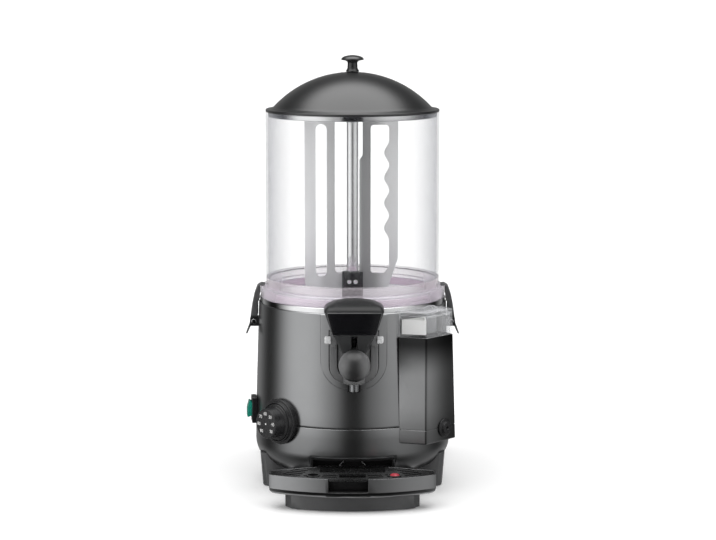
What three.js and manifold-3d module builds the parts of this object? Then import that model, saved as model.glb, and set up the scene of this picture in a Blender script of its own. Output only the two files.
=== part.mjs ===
// Hot chocolate dispenser: a clear bowl with a stirrer on a heated round body, a lever tap and a drip tray.
// Millimetres, +Z up, the front faces -Y. Pieces are placed round the bowl's upright axis, and the whole is
// then moved so that the middle of its plan lies over the origin.
import * as THREE from 'three';
import { mergeVertices } from 'three/addons/utils/BufferGeometryUtils.js';
import Module from 'manifold-3d';

const wasm = await Module();
wasm.setup();

// Overall sizes. A reach is a distance in front of the bowl's axis, or behind it.
const frontReach = 213;
const backReach = 197;
const tableLift = 1;
const gap = 0.3;
const overrun = 4;
const mergeDistance = 0.0001;

// Facets round a circle
const bigRound = 40;
const midRound = 24;
const smallRound = 16;
const tinyRound = 12;
const cornerSteps = 3;

// Feet, base plate and plinth
const footHeight = 6;
const footRadius = 12;
const footInset = 9.5;
const frontFootSetback = 28;
const rearFootSetback = 24;
const basePlateThickness = 3;
const plinthSetback = 13;
const plinthReach = frontReach - plinthSetback;
const plinthHalfWidth = 87.5;
const plinthTop = 19.5;
const plinthWall = 3;
const plinthCorner = 8;

// Stand behind the plinth
const standFrontReach = 60;
const coverSetback = 11;
const coverBackReach = backReach - coverSetback;
const standOverhang = 2;
const standBackReach = coverBackReach + standOverhang;
const standHalfWidth = 125;
const standFootHalfWidth = 121.5;
const standTop = 46;
const standWall = 3;
const standCorner = 14;
const standDoorHalfWidth = 88;
const standDoorDepth = 70;
const frontFootX = plinthHalfWidth - footRadius - footInset;
const frontFootReach = plinthReach - frontFootSetback;
const rearFootX = standFootHalfWidth - footRadius - footInset - plinthWall + gap;
const rearFootReach = standBackReach - rearFootSetback;

// Body shells
const shellWall = 3;
const shellTop = 247;
const shellTopRadius = 127.5;
const shellLip = 3.2;
const seamZ = 94;
const seamGap = 0.6;
const seamRadius = 132.3;
const seamChamfer = 0.5;
const spigotHeight = 7;
const spigotWall = 2.4;
const bellyRadius = 132.5;
const shellBottom = 25;
const shellFillet = 33;
const bellyLand = 2;
const bellyZ = shellBottom + shellFillet + bellyLand;
const shellFloorRadius = 95;
const filletSteps = 5;

// Recess for the tray's tongue
const notchHalfWidth = 55;
const notchTop = 54;
const dockReach = 105;
const dockWall = 2.4;
const bossRadius = 21;
const bossCentreZ = 29.5;
const bossRise = 3.6;

// Water tank under the bowl
const tankBottom = 120;
const tankRadius = 121;
const tankWall = 1.6;
const tankTop = 252.2;
const tankRimRadius = 123.6;
const tankTubeRadius = 9.6;
const tankTubeTop = 236;
const tankStandRadius = 57;
const tankStandWall = 2;
const tankStandFlange = 14;
const heaterRadius = 82;
const heaterTube = 4;
const heaterSides = 8;
const heaterRise = 9;
const heaterLeg = 16;
const heaterSweepShare = 0.92;

// Product pan under the bowl
const collarRadius = 126;
const collarTop = 254;
const collarWall = 1.5;
const panWall = 1.5;
const panRadius = 114;
const panShoulderZ = 196;
const panFootRadius = 101;
const panFootZ = 176;
const panFloorZ = 165;
const panTubeRadius = 14;
const panTubeTop = 244;
const panSpoutZ = 182;
const panSpoutRadius = 10;
const panSpoutBore = 7;
const panSpoutReach = 124;

// Gasket and bowl
const gasketHeight = 9.2;
const gasketInner = 115.2;
const bowlRadius = 117.5;
const bowlWall = 3;
const bowlTop = 504;
const footRingRadius = 125;
const footRingTop = 268;
const footRingWall = 3;
const footWeb = 4;
const floorRingInner = 112.4;
const floorRingTop = 277;
const floorRingSlope = 2;

// Stirrer
const shaftRadius = 5;
const shaftTop = 264;
const shaftSealHeight = 8;
const hubRadius = 14.4;
const hubSkirtRadius = 17.4;
const hubBottom = 226;
const hubSkirtTop = 250;
const hubTop = 286;
const hubShaftDepth = 10;
const columnRadius = 7.8;
const columnTop = 490.4;
const capRadius = 13.4;
const capTop = 497;
const capRound = 3;
const bladeThickness = 2;
const bladeTop = 493;
const bladeBottom = 262;
const bladeSlotDepth = 5;
const boltHeadRadius = 2.9;
const boltShankRadius = 1.6;
const boltHead = 1.8;
const boltDepth = 5;
const boltX = 4.2;
const boltZ = 274;
const leftOuter = 65;
const leftWindowOuter = 50;
const leftWindowInner = 35;
const leftInner = 24;
const leftWindowTop = 487;
const leftWindowBottom = 279;
const leftWebTop = 284;
const rightInnerTop = capRadius + gap;
const rightInnerLow = 9.4;
const rightStepZ = 445;
const rightStepRun = 6;
const rightWindowInner = 24.6;
const rightWindowOuter = 49.5;
const rightOuter = 61.8;
const rightWindowBottom = 284;
const rightWindowTop = 486;
const rightWindowCorner = 9.2;
const rightFootOuter = 47.6;
const rightFootZ = 304;
const waveTop = 465.6;
const wavePitch = 34.2;
const waveCount = 4;
const waveDepth = 6.6;
const waveSteps = 6;

// Lid
const lidRimRadius = 117.4;
const lidRimHeight = 3.7;
const lidDomeRadius = 107;
const lidDomeHeight = 47;
const lidWall = 2.4;
const lidSeatWidth = 3.2;
const domeSteps = 6;
const skirtRadius = 113.8;
const skirtWall = 1.4;
const skirtDrop = 6.6;
const skirtFlange = 7;
const knobTop = 580;
const knobHeadRadius = 15.2;
const knobHeadHeight = 6.4;
const knobHeadSteps = 4;
const knobNeckRadius = 6.6;
const knobStemRadius = 7.6;
const knobStemFoot = 9.4;
const knobStudRadius = 3;
const lidBossRadius = 8;
const lidBossHeight = 5;

// Latches
const latchWidth = 24;
const latchHookX = 119.4;
const latchHookThickness = 1.4;
const latchHookCrown = 0.8;
const latchShoulderX = 130;
const latchBrowX = 133.6;
const latchBrowZ = 257.8;
const latchBackX = 136.3;
const latchBackZ = 245;
const latchWaistX = 139.3;
const latchWaistZ = 224;
const latchElbowX = 140.6;
const latchElbowZ = 215.4;
const latchTipX = 145.4;
const latchTipZ = 202.6;
const latchTab = 1.7;
const latchCheekZ = 227.3;
const latchChannelWall = 2.2;
const latchTongueWidth = 15;
const latchPivotX = 134.5;
const latchPivotZ = 219;
const latchPinRadius = 2;
const latchBossRadius = 4.6;
const latchPinHead = 3.4;
const latchPinHeadLength = 1.4;
const bracketCheek = 3;
const bracketNose = 5.1;
const bracketOuter = latchPivotX + bracketNose;
const latchWideTabZ = 210;
const bracketBottom = 212.6;
const bracketTop = 224;
const bracketBack = 5;

// Tap, turned a little to the right about the upright axis
const tapTurnDegrees = 0.8;
const tapPanelHalfWidth = 43.8;
const tapPanelTop = 246;
const tapPanelBottom = 147;
const tapPanelCorner = 38;
const tapPanelRise = 2.2;
const tapReach = 152;
const barrelRadius = 14;
const barrelBottom = 160;
const barrelTop = 195;
const neckRadius = 7.6;
const neckTop = 199.4;
const chamberRadius = 10;
const seatRadius = 5.2;
const seatThickness = 5;
const lidPlateThickness = 4;
const apronHalfWidth = 31.8;
const apronRidge = 10;
const apronRecess = 3;
const apronTop = 226;
const apronBottom = 156;
const apronCorner = 24;
const apronReach = 138.6;
const outletBlockHalf = 8;
const outletBlockBottom = 151.6;
const nozzleRadius = 6;
const nozzleWall = 1.1;
const nozzleBottom = 149.4;
const nozzleCollar = 2;
const pistonHeadRadius = 8.2;
const pistonHeadHeight = 7;
const pistonRodRadius = 3;
const rodClearance = 0.4;
const pistonRodTop = 236;
const pistonCollarRadius = 5.6;
const pistonCollarHeight = 3;
const pistonCollarZ = 214.6;
const springTurns = 6;
const springWire = 0.8;
const springRadius = 4.7;
const springSides = 5;
const springStepsPerTurn = 8;
const springSeatZ = 240;
const springSeatThickness = 3;

// Tap lever
const pivotReach = 138;
const pivotZ = 215;
const pivotPinRadius = 2.6;
const pivotPinHead = 5;
const pivotPinHeadLength = 8.6;
const pinHalf = 30;
const leverThickness = 6;
const leverWidth = 6.4;
const forkWidth = 14;
const forkLength = 22.3;
const forkSlotHalfWidth = 3.7;
const forkSlotStart = 9.5;
const forkSlotEnd = 20.4;
const leverEyeRadius = 5.4;
const ballReach = 190;
const ballZ = 190;
const ballRadius = 20.5;
const ballCollarRadius = 7;
const ballCollarLength = 5;

// Tap cover, the nose over the lever
const noseTop = 269.6;
const noseBack = 131.2;
const noseFront = 169;
const noseWall = 2.6;
const noseShoulderHalf = 39;
const noseShoulderZ = 255;
const noseCrownHalf = 12;
const noseCrownDrop = 0.8;
const noseTempleHalf = 24;
const noseTempleDrop = 4;
const noseBrowHalf = 34.5;
const noseBrowDrop = 8;
const noseWaistHalf = 28.5;
const noseWaistZ = 225;
const noseTipHalf = 15.5;
const noseTipZ = 200;
const noseWaistReach = 166.5;
const noseStep = 3;
const noseTipReach = 160.5;
const noseBackWallZ = 248;
const noseRoofSteps = 5;
const noseSlotHalfWidth = 4;
const noseSlotBottom = 196;
const noseSlotTop = 221;
const plateThickness = 1.2;
const plateTop = 253.6;
const plateBottom = 227;
const plateTopHalf = 34.6;
const plateBottomHalf = 27.6;

// Dial, on the left front
const dialAngleDegrees = 46;
const dialZ = 97.3;
const bezelRadius = 30.5;
const bezelThickness = 5.4;
const bezelUndercut = 1.8;
const bezelLip = 3;
const bezelStepRadius = 26.5;
const bezelStep = 4;
const knobSkirtRadius = 24.4;
const knobSkirtThickness = 4.6;
const dialRadius = 20.6;
const dialTipRadius = 19.8;
const dialReach = 159.7;
const dialHollow = 3;
const dialShaftRadius = 3;
const thermostatRadius = 15;
const thermostatDepth = 20;
const thermostatBush = 7;

// Switch, on the left side
const switchAngleDegrees = 84;
const switchZ = 98.6;
const switchHalfWidth = 13;
const switchHalfHeight = 18;
const switchReach = 138.8;
const switchWall = 3;
const switchBodyDepth = 22;
const rockerHalfWidth = 9;
const rockerHalfHeight = 11.6;
const rockerSlack = 1.6;
const rockerPivotReach = 133.6;
const rockerRise = 146.7;
const rockerThrowDegrees = 7;
const rockerPocketReach = 128.4;

// Water box, on the right front
const boxLeftX = 61;
const boxLeftReach = 117;
const boxNoseX = 97;
const boxNoseReach = 128;
const boxRightX = 132.6;
const boxRightReach = 88;
const boxRearX = 119;
const boxRearReach = 62;
const boxInnerX = 76;
const boxInnerReach = 76;
const boxBottom = 72.6;
const boxRim = 214.5;
const windowRim = 243.4;
const boxLidTop = 248.6;
const boxWall = 2.6;
const boxLidWall = 2;
const boxDraftShare = 0.046;
const boxGrooveZ = 91.4;
const boxGroove = 0.9;
const boxLidLip = 3;
const boxCapRadius = 10.2;
const boxCapRise = 7;
const boxCapX = 104;
const boxCapReach = 104;
const waterPipeAngleDegrees = 44;
const waterPipeRadius = 5;
const waterPipeWall = 1.4;
const waterPipeZ = 134;
const waterPipeReach = 133.6;
const fillerBottom = 219;
const fillerTop = 241;
const fillerHole = 4.4;
const fillerWall = 2;
const drainShare = 0.7;
const drainZ = 90.6;
const drainRadius = 12.6;
const drainThickness = 3;
const drainKnobRadius = 8.6;
const drainKnobThickness = 3;
const drainStemRadius = 7;
const drainStemLength = 8;
const drainSlotRadius = 2;

// Tray and grid
const trayHalfWidth = 108.4;
const trayTop = 46;
const trayBottom = 20.2;
const trayWall = 2.6;
const trayRearShare = 0.75118;
const trayRearReach = frontReach * trayRearShare;
const trayShoulderX = 84;
const trayShoulderShare = 0.70423;
const trayShoulderReach = frontReach * trayShoulderShare;
const trayTongueSideClearance = 5;
const trayTongueHalfWidth = notchHalfWidth - trayTongueSideClearance;
const trayTongueRootShare = 0.65258;
const trayTongueRootReach = frontReach * trayTongueRootShare;
const trayTongueClearance = 7;
const trayTongueReach = dockReach + trayTongueClearance;
const trayArcSteps = 12;
const trayFootRadius = 8;
const trayFootSteps = 3;
const trayCornerCut = 5;
const trayRoomInset = 5;
const trayRoomStep = 6;
const gridSeatDepth = 3.4;
const gridThickness = 2.8;
const gridSlack = 0.6;
const gridLedge = 2.4;
const gridSlotWidth = 5;
const gridPitch = 9.4;
const gridFirstShare = 0.74178;
const gridFirstRadius = frontReach * gridFirstShare;
const gridRows = 5;
const gridSlotSteps = 3;
const gridBarDegrees = 1.4;
const gridSlotStartDegrees = [6, 13, 20];
const gridSlotEndDegrees = 27;
const recessHalfWidth = 26;
const recessCentreX = -5.5;
const recessBottom = 28.6;
const recessDepth = 15;
const wellDrop = 4.4;
const wellHalfWidth = 45;
const wellSetback = 41;
const wellReach = frontReach - wellSetback;
const wellWall = 2.4;
const wellSlotRows = 5;
const wellFirstRadius = 118;
const wellSlotEndDegrees = 17;
const wellPadRadius = 12;
const liftHalfWidth = 17;
const liftSetback = 33;
const liftReach = frontReach - liftSetback;
const liftDepth = 18;
const floatX = 54.5;
const floatSetback = 25;
const floatReach = frontReach - floatSetback;
const spareHoleX = -51;
const spareHoleSetback = 26;
const spareHoleReach = frontReach - spareHoleSetback;
const floatRadius = 6.4;
const floatTop = 48.4;
const floatBottom = 24;
const floatHoleRadius = 7.2;
const floatRingRadius = 9;
const floatRingRise = 0.8;
const floatFlangeRadius = 8.6;
const floatFlangeHeight = 3;

// Motor and electrics
const motorRadius = 30;
const gearboxRadius = 38;
const gearboxBottom = 70;
const gearboxTop = 98;
const motorNeckRadius = 12;
const motorNeckTop = 104;
const shaftSocket = 14;
const shaftRunning = 0.1;

// Rear cover and cable gland
const coverHalfWidth = 96;
const coverTop = 226;
const coverFrontTop = 234;
const coverWall = 2.4;
const coverCorner = 16;
const louvreCount = 7;
const louvreHalfWidth = 48;
const louvreHeight = 5;
const louvrePitch = 13;
const louvreTop = 196;
const glandX = -70;
const glandZ = 27;
const glandRadius = 9;
const glandCollarRadius = 12;
const glandCollarShare = 0.46;
const glandBore = 4.2;
const glandNut = 6;

// Materials
const satinBlack = { color: 0x3a3b3c, roughness: 0.42, metalness: 0.25 };
const deepBlack = { color: 0x17181a, roughness: 0.55, metalness: 0.0 };
const glossBlack = { color: 0x101012, roughness: 0.12, metalness: 0.0 };
const polishedSteel = { color: 0xd9dbdc, roughness: 0.12, metalness: 1.0 };
const brushedSteel = { color: 0xb4b6b7, roughness: 0.35, metalness: 0.9 };
const clearPlastic = { color: 0xe9ecef, roughness: 0.06, metalness: 0.0, transparent: true, opacity: 0.3 };
const bladePlastic = { color: 0xb9bbbc, roughness: 0.5, metalness: 0.1 };
const pinkSilicone = { color: 0xd9a2b8, roughness: 0.6, metalness: 0.0 };
const darkRubber = { color: 0x202021, roughness: 0.85, metalness: 0.0 };
const whitePlastic = { color: 0xe6e6e2, roughness: 0.4, metalness: 0.0 };
const greenLamp = { color: 0x1f8a6a, roughness: 0.2, metalness: 0.0 };
const redPlastic = { color: 0xb5303a, roughness: 0.4, metalness: 0.0 };
const motorGrey = { color: 0x77797b, roughness: 0.5, metalness: 0.6 };

// A geometry's surface as a solid that can be joined and cut. Triangles that close up at a pole are left
// out, and a surface that was wound inside out is turned round.
function solid(geometry) {
  const bare = geometry.clone();
  bare.deleteAttribute('normal');
  bare.deleteAttribute('uv');
  const merged = mergeVertices(bare, mergeDistance);
  const corners = merged.index.array;
  const kept = [];
  for (let i = 0; i < corners.length; i += 3) {
    const [a, b, c] = [corners[i], corners[i + 1], corners[i + 2]];
    if (a !== b && b !== c && c !== a) {
      kept.push(a, b, c);
    }
  }
  const vertProperties = new Float32Array(merged.attributes.position.array);
  const make = (triVerts) => new wasm.Manifold(new wasm.Mesh({ numProp: 3, vertProperties, triVerts }));
  const made = make(new Uint32Array(kept));
  return made.volume() > 0 ? made : make(new Uint32Array(kept).reverse());
}

function surface(shape) {
  const mesh = shape.getMesh();
  const geometry = new THREE.BufferGeometry();
  const places = new Float32Array((mesh.vertProperties.length / mesh.numProp) * 3);
  for (let i = 0; i < places.length / 3; i += 1) {
    places.set(mesh.vertProperties.subarray(i * mesh.numProp, i * mesh.numProp + 3), i * 3);
  }
  geometry.setAttribute('position', new THREE.BufferAttribute(places, 3));
  geometry.setIndex(new THREE.BufferAttribute(new Uint32Array(mesh.triVerts), 1));
  geometry.computeVertexNormals();
  return geometry;
}

function join(first, ...others) {
  return others.reduce((whole, other) => whole.add(other), first);
}

function cut(first, ...others) {
  return others.reduce((whole, other) => whole.subtract(other), first);
}

// Unit directions of the frames that flat outlines are drawn in
const right = new THREE.Vector3(1, 0, 0);
const back = new THREE.Vector3(0, 1, 0);
const up = new THREE.Vector3(0, 0, 1);
const front = new THREE.Vector3(0, -1, 0);

function outline(points) {
  return new THREE.Shape(points.map(([x, y]) => new THREE.Vector2(x, y)));
}

function extrusion(shape, length) {
  return new THREE.ExtrudeGeometry(shape, { depth: length, bevelEnabled: false, curveSegments: tinyRound });
}

// A plan outline (x, y) raised from one height to another
function raised(shape, bottom, top) {
  return solid(extrusion(shape, top - bottom).translate(0, 0, bottom));
}

// A front view outline (x, z) carried forward from one reach to another
function carriedForward(shape, nearReach, farReach) {
  const frame = new THREE.Matrix4().makeBasis(right, up, front);
  return solid(extrusion(shape, farReach - nearReach).applyMatrix4(frame).translate(0, -nearReach, 0));
}

// A side view outline (reach, z) carried across from x = low to x = high
function carriedAcross(points, low, high) {
  const frame = new THREE.Matrix4().makeBasis(back, up, right);
  const drawn = outline(points.map(([reach, z]) => [-reach, z]));
  return solid(extrusion(drawn, high - low).applyMatrix4(frame).translate(low, 0, 0));
}

// A profile (radius, height) turned about the upright axis. It closes on itself or on the axis.
function turned(profile, facets = bigRound) {
  const onAxis = profile[0][0] === 0 && profile[profile.length - 1][0] === 0;
  const closed = onAxis ? profile : [...profile, profile[0]];
  const points = closed.map(([radius, height]) => new THREE.Vector2(radius, height));
  return solid(new THREE.LatheGeometry(points, facets).rotateX(Math.PI / 2));
}

function disc(radius, bottom, top, facets = midRound) {
  return turned([[0, bottom], [radius, bottom], [radius, top], [0, top]], facets);
}

function ring(inner, outer, bottom, top, facets = midRound) {
  return turned([[inner, bottom], [outer, bottom], [outer, top], [inner, top]], facets);
}

function block(lowX, highX, nearReach, farReach, bottom, top) {
  const box = new THREE.BoxGeometry(highX - lowX, farReach - nearReach, top - bottom);
  return solid(box.translate((lowX + highX) / 2, -(nearReach + farReach) / 2, (bottom + top) / 2));
}

// A frame whose +Z points outward from the upright axis, at an angle from the front towards the left, and
// whose +Y points up
function outwardFrame(angleDegrees, height) {
  const angle = THREE.MathUtils.degToRad(angleDegrees);
  const outward = new THREE.Vector3(-Math.sin(angle), -Math.cos(angle), 0);
  const across = new THREE.Vector3().crossVectors(up, outward);
  return new THREE.Matrix4().makeBasis(across, up, outward).setPosition(0, 0, height);
}

function placed(shape, matrix) {
  return shape.transform(matrix.elements);
}

function roundedRectangle(halfWidth, lowY, highY, corner) {
  const shape = new THREE.Shape();
  const sides = [
    [halfWidth - corner, lowY + corner, -Math.PI / 2],
    [halfWidth - corner, highY - corner, 0],
    [-halfWidth + corner, highY - corner, Math.PI / 2],
    [-halfWidth + corner, lowY + corner, Math.PI],
  ];
  for (const [x, y, start] of sides) {
    for (let step = 0; step <= cornerSteps; step += 1) {
      const angle = start + (Math.PI / 2) * (step / cornerSteps);
      const point = [x + corner * Math.cos(angle), y + corner * Math.sin(angle)];
      if (shape.curves.length === 0 && step === 0 && start === -Math.PI / 2) {
        shape.moveTo(...point);
      } else {
        shape.lineTo(...point);
      }
    }
  }
  return shape;
}

// A U outline with round lower corners, in the front view
function uOutline(halfWidth, bottom, top, corner) {
  const points = [[-halfWidth, top]];
  for (const [side, start] of [[-1, Math.PI], [1, -Math.PI / 2]]) {
    for (let step = 0; step <= filletSteps; step += 1) {
      const angle = start + (Math.PI / 2) * (step / filletSteps);
      const x = side * (halfWidth - corner) + corner * Math.cos(angle);
      points.push([x, bottom + corner + corner * Math.sin(angle)]);
    }
  }
  points.push([halfWidth, top]);
  return points;
}

// Outer radius of the upper shell at a height: it narrows evenly from the seam to its top
function shellRadiusAt(z) {
  return seamRadius + ((shellTopRadius - seamRadius) * (z - seamZ)) / (shellTop - seamZ);
}

// Lower shell's outer profile, from its floor up to the seam
function lowerProfile(offset) {
  const filletCentre = bellyRadius - shellFillet;
  const points = [];
  for (let step = 0; step <= filletSteps; step += 1) {
    const angle = -Math.PI / 2 + (Math.PI / 2) * (step / filletSteps);
    const radius = filletCentre + (shellFillet + offset) * Math.cos(angle);
    const z = shellBottom + shellFillet + (shellFillet + offset) * Math.sin(angle);
    points.push([radius, z]);
  }
  return points;
}

// Space that both shells take, with a margin, to cut their neighbours back from them
function shellEnvelope(margin) {
  return turned([
    [0, shellBottom - margin],
    ...lowerProfile(margin),
    [bellyRadius + margin, bellyZ],
    [seamRadius + margin, seamZ],
    [shellTopRadius + margin, shellTop + margin],
    [0, shellTop + margin],
  ]);
}

// Ring sector in the plan, between two angles from the front, as an outline
function arcSlot(inner, outer, startDegrees, endDegrees) {
  const start = THREE.MathUtils.degToRad(startDegrees);
  const end = THREE.MathUtils.degToRad(endDegrees);
  const points = [];
  for (let step = 0; step <= gridSlotSteps; step += 1) {
    const angle = start + ((end - start) * step) / gridSlotSteps;
    points.push([outer * Math.sin(angle), -outer * Math.cos(angle)]);
  }
  for (let step = gridSlotSteps; step >= 0; step -= 1) {
    const angle = start + ((end - start) * step) / gridSlotSteps;
    points.push([inner * Math.sin(angle), -inner * Math.cos(angle)]);
  }
  return outline(points);
}

// Solid between plans of as many points each, one above another, with a flat bottom and top
function stacked(rings) {
  const places = rings.flatMap(([points, z]) => points.flatMap(([x, y]) => [x, y, z]));
  const count = rings[0][0].length;
  const triangles = [];
  for (let ring = 0; ring < rings.length - 1; ring += 1) {
    for (let i = 0; i < count; i += 1) {
      const here = ring * count + i;
      const next = ring * count + ((i + 1) % count);
      triangles.push(here, next, here + count, next, next + count, here + count);
    }
  }
  const last = (rings.length - 1) * count;
  const flat = rings[0][0].map(([x, y]) => new THREE.Vector2(x, y));
  for (const [a, b, c] of THREE.ShapeUtils.triangulateShape(flat, [])) {
    triangles.push(a, c, b, last + a, last + b, last + c);
  }
  const geometry = new THREE.BufferGeometry();
  geometry.setAttribute('position', new THREE.Float32BufferAttribute(places, 3));
  geometry.setIndex(triangles);
  return solid(geometry);
}

const machine = new THREE.Group();
machine.position.y = (frontReach - backReach) / 2;

function add(name, shape, look) {
  const mesh = new THREE.Mesh(surface(shape), new THREE.MeshStandardMaterial(look));
  mesh.name = name;
  machine.add(mesh);
}

// Pieces of the tap are drawn on the middle plane and then turned into their place
function addTapPiece(name, shape, look) {
  add(name, shape.rotate([0, 0, tapTurnDegrees]), look);
}

const basePlateBottom = footHeight + gap;
const basePlateTop = basePlateBottom + basePlateThickness;
const dialFrame = outwardFrame(dialAngleDegrees, dialZ);
const switchFrame = outwardFrame(switchAngleDegrees, switchZ);
const waterPipeFrame = outwardFrame(-waterPipeAngleDegrees, waterPipeZ);
const spoutFrame = outwardFrame(-tapTurnDegrees, panSpoutZ);
const tapSpoutFrame = outwardFrame(0, panSpoutZ);

function addFeet() {
  const places = [
    ['foot_front_left', -frontFootX, -frontFootReach],
    ['foot_front_right', frontFootX, -frontFootReach],
    ['foot_rear_left', -rearFootX, rearFootReach],
    ['foot_rear_right', rearFootX, rearFootReach],
  ];
  for (const [name, x, y] of places) {
    add(name, disc(footRadius, 0, footHeight, smallRound).translate([x, y, 0]), darkRubber);
  }
}

// Plinth outline: a front edge round the upright axis, with rounded front corners
function plinthOutline(inset) {
  const reach = plinthReach - inset;
  const half = plinthHalfWidth - inset;
  const corner = plinthCorner - inset / 2;
  const sideReach = Math.sqrt(reach * reach - half * half) - corner;
  const turn = Math.asin((half - corner) / reach);
  const points = [[half, -standFrontReach - gap], [half, -sideReach]];
  for (let step = 0; step <= trayArcSteps; step += 1) {
    const angle = turn - (2 * turn * step) / trayArcSteps;
    points.push([reach * Math.sin(angle), -reach * Math.cos(angle)]);
  }
  points.push([-half, -sideReach], [-half, -standFrontReach - gap]);
  return outline(points.reverse());
}

function addBase() {
  const tongue = raised(plinthOutline(plinthWall + gap), basePlateBottom, basePlateTop);
  const bridge = block(
    -standDoorHalfWidth + 2 * plinthWall, standDoorHalfWidth - 2 * plinthWall,
    standFrontReach - 2 * standWall, standFrontReach + 2 * standWall, basePlateBottom, basePlateTop,
  );
  const rear = standBlock(standWall + gap, basePlateBottom, basePlateTop);
  add('base_plate', join(rear, bridge, tongue), brushedSteel);
  const outer = raised(plinthOutline(0), tableLift, plinthTop);
  const inner = raised(plinthOutline(plinthWall), tableLift - overrun, plinthTop - plinthWall);
  const rearDoor = block(
    -plinthHalfWidth + plinthWall, plinthHalfWidth - plinthWall,
    standFrontReach - overrun, standFrontReach + 2 * overrun, tableLift - overrun, plinthTop - plinthWall,
  );
  add('plinth', cut(outer, inner, rearDoor), satinBlack);
}

// Stand: a hollow skirt under the shells that widens upwards, with a deck behind them
function standBlock(inset, bottom, top) {
  const low = standFootHalfWidth - inset;
  const high = standHalfWidth - inset;
  const rear = standBackReach - inset;
  const shape = roundedRectangle(low, -standFrontReach + inset, rear, standCorner - inset);
  const geometry = extrusion(shape, top - bottom).translate(0, 0, bottom);
  const places = geometry.attributes.position;
  for (let i = 0; i < places.count; i += 1) {
    const rise = (places.getZ(i) - tableLift) / (standTop - tableLift);
    places.setX(i, places.getX(i) * (1 + (high / low - 1) * rise));
  }
  return solid(geometry);
}

function addStand() {
  const outer = standBlock(0, tableLift, standTop);
  const inner = standBlock(standWall, tableLift - overrun, standTop - standWall);
  const coverInner = coverHalfWidth - coverWall - gap;
  const window = block(
    -coverInner, coverInner, -coverBackReach + coverWall + gap, 0,
    standTop - 2 * standWall, standTop + overrun,
  );
  const door = block(
    -standDoorHalfWidth, standDoorHalfWidth, standFrontReach - standDoorDepth, standFrontReach + overrun,
    tableLift - overrun, standTop,
  );
  const holeStart = standBackReach - 2 * standWall;
  const hole = disc(glandRadius + gap, holeStart, standBackReach + overrun, smallRound);
  const glandHole = placed(hole, glandFrame());
  add('stand', cut(outer, inner, window, door, shellEnvelope(gap), glandHole), satinBlack);
}

// The gland's own frame: +Z points backwards
function glandFrame() {
  return new THREE.Matrix4().makeBasis(front.clone().cross(up), up, back).setPosition(glandX, 0, glandZ);
}

function addGland() {
  const start = standBackReach + gap;
  const inside = start - standWall - 2 * gap - glandNut;
  const collarEnd = start + (backReach - start) * glandCollarShare;
  const outer = turned([
    [glandBore, inside],
    [glandRadius, inside],
    [glandRadius, start],
    [glandCollarRadius, start],
    [glandCollarRadius, collarEnd],
    [glandRadius - gap, backReach],
    [glandBore, backReach],
  ], tinyRound);
  add('cable_gland', placed(outer, glandFrame()), deepBlack);
}

function addRearCover() {
  const shape = (inset) => (
    roundedRectangle(coverHalfWidth - inset, 0, coverBackReach - inset, coverCorner - inset)
  );
  const bottom = standTop + gap;
  const slope = (drop) => carriedAcross([
    [0, bottom - overrun],
    [0, coverFrontTop - drop],
    [-shellTopRadius, coverFrontTop - drop],
    [-coverBackReach - overrun, coverTop - drop],
    [-coverBackReach - overrun, bottom - overrun],
  ], -coverHalfWidth - overrun, coverHalfWidth + overrun);
  const outer = raised(shape(0), bottom, coverFrontTop + overrun).intersect(slope(0));
  const inner = raised(shape(coverWall), bottom - overrun, coverFrontTop + overrun)
    .intersect(slope(coverWall));
  const louvres = [];
  for (let i = 0; i < louvreCount; i += 1) {
    const top = louvreTop - i * louvrePitch;
    louvres.push(block(
      -louvreHalfWidth, louvreHalfWidth, -coverBackReach - overrun, -coverBackReach + 2 * coverWall,
      top - louvreHeight, top,
    ));
  }
  add('rear_cover', cut(outer, inner, shellEnvelope(gap), ...louvres), satinBlack);
}

// Holes that both shells have for the dial's bush and the switch
function sideHoles() {
  const dialHole = placed(disc(thermostatBush + gap, 0, bellyRadius + overrun, smallRound), dialFrame);
  const half = switchHalfWidth - switchWall + gap;
  const halfHeight = switchHalfHeight - switchWall + gap;
  const switchHole = solid(new THREE.BoxGeometry(2 * half, 2 * halfHeight, 2 * switchWall + 2 * overrun)
    .translate(0, 0, bellyRadius));
  return [dialHole, placed(switchHole, switchFrame)];
}

function addLowerShell() {
  const top = seamZ - seamGap / 2;
  const spigotOuter = seamRadius - shellWall - gap;
  const profile = [
    [shellFloorRadius, shellBottom],
    ...lowerProfile(0),
    [bellyRadius, bellyZ],
    [seamRadius, top - seamChamfer],
    [seamRadius - seamChamfer, top],
    [spigotOuter, top],
    [spigotOuter, top + spigotHeight],
    [spigotOuter - spigotWall, top + spigotHeight],
    [spigotOuter - spigotWall, top - spigotHeight],
    [bellyRadius - shellWall, top - 2 * spigotHeight],
    ...lowerProfile(-shellWall).reverse(),
    [shellFloorRadius, shellBottom + shellWall],
  ];
  const notch = block(-notchHalfWidth, notchHalfWidth, dockReach - dockWall - gap, frontReach, 0, notchTop);
  add('lower_shell', cut(turned(profile), notch, ...sideHoles()), satinBlack);
}

function addTrayDock() {
  const half = notchHalfWidth - gap;
  const top = notchTop - gap;
  const bottom = shellBottom + gap;
  const outer = block(-half, half, dockReach - dockWall, frontReach, bottom, top);
  const inner = block(
    -half + dockWall, half - dockWall, dockReach, frontReach + overrun,
    bottom - overrun, top - dockWall,
  );
  const trimmed = cut(outer, inner).intersect(shellEnvelope(0));
  const boss = disc(bossRadius, dockReach - dockWall, dockReach + bossRise, midRound);
  const bossFrame = outwardFrame(0, bossCentreZ);
  const bossTrim = block(-half, half, 0, frontReach, bottom, top);
  const floor = placed(boss, bossFrame).intersect(bossTrim);
  add('tray_dock', join(trimmed, floor), deepBlack);
}

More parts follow.
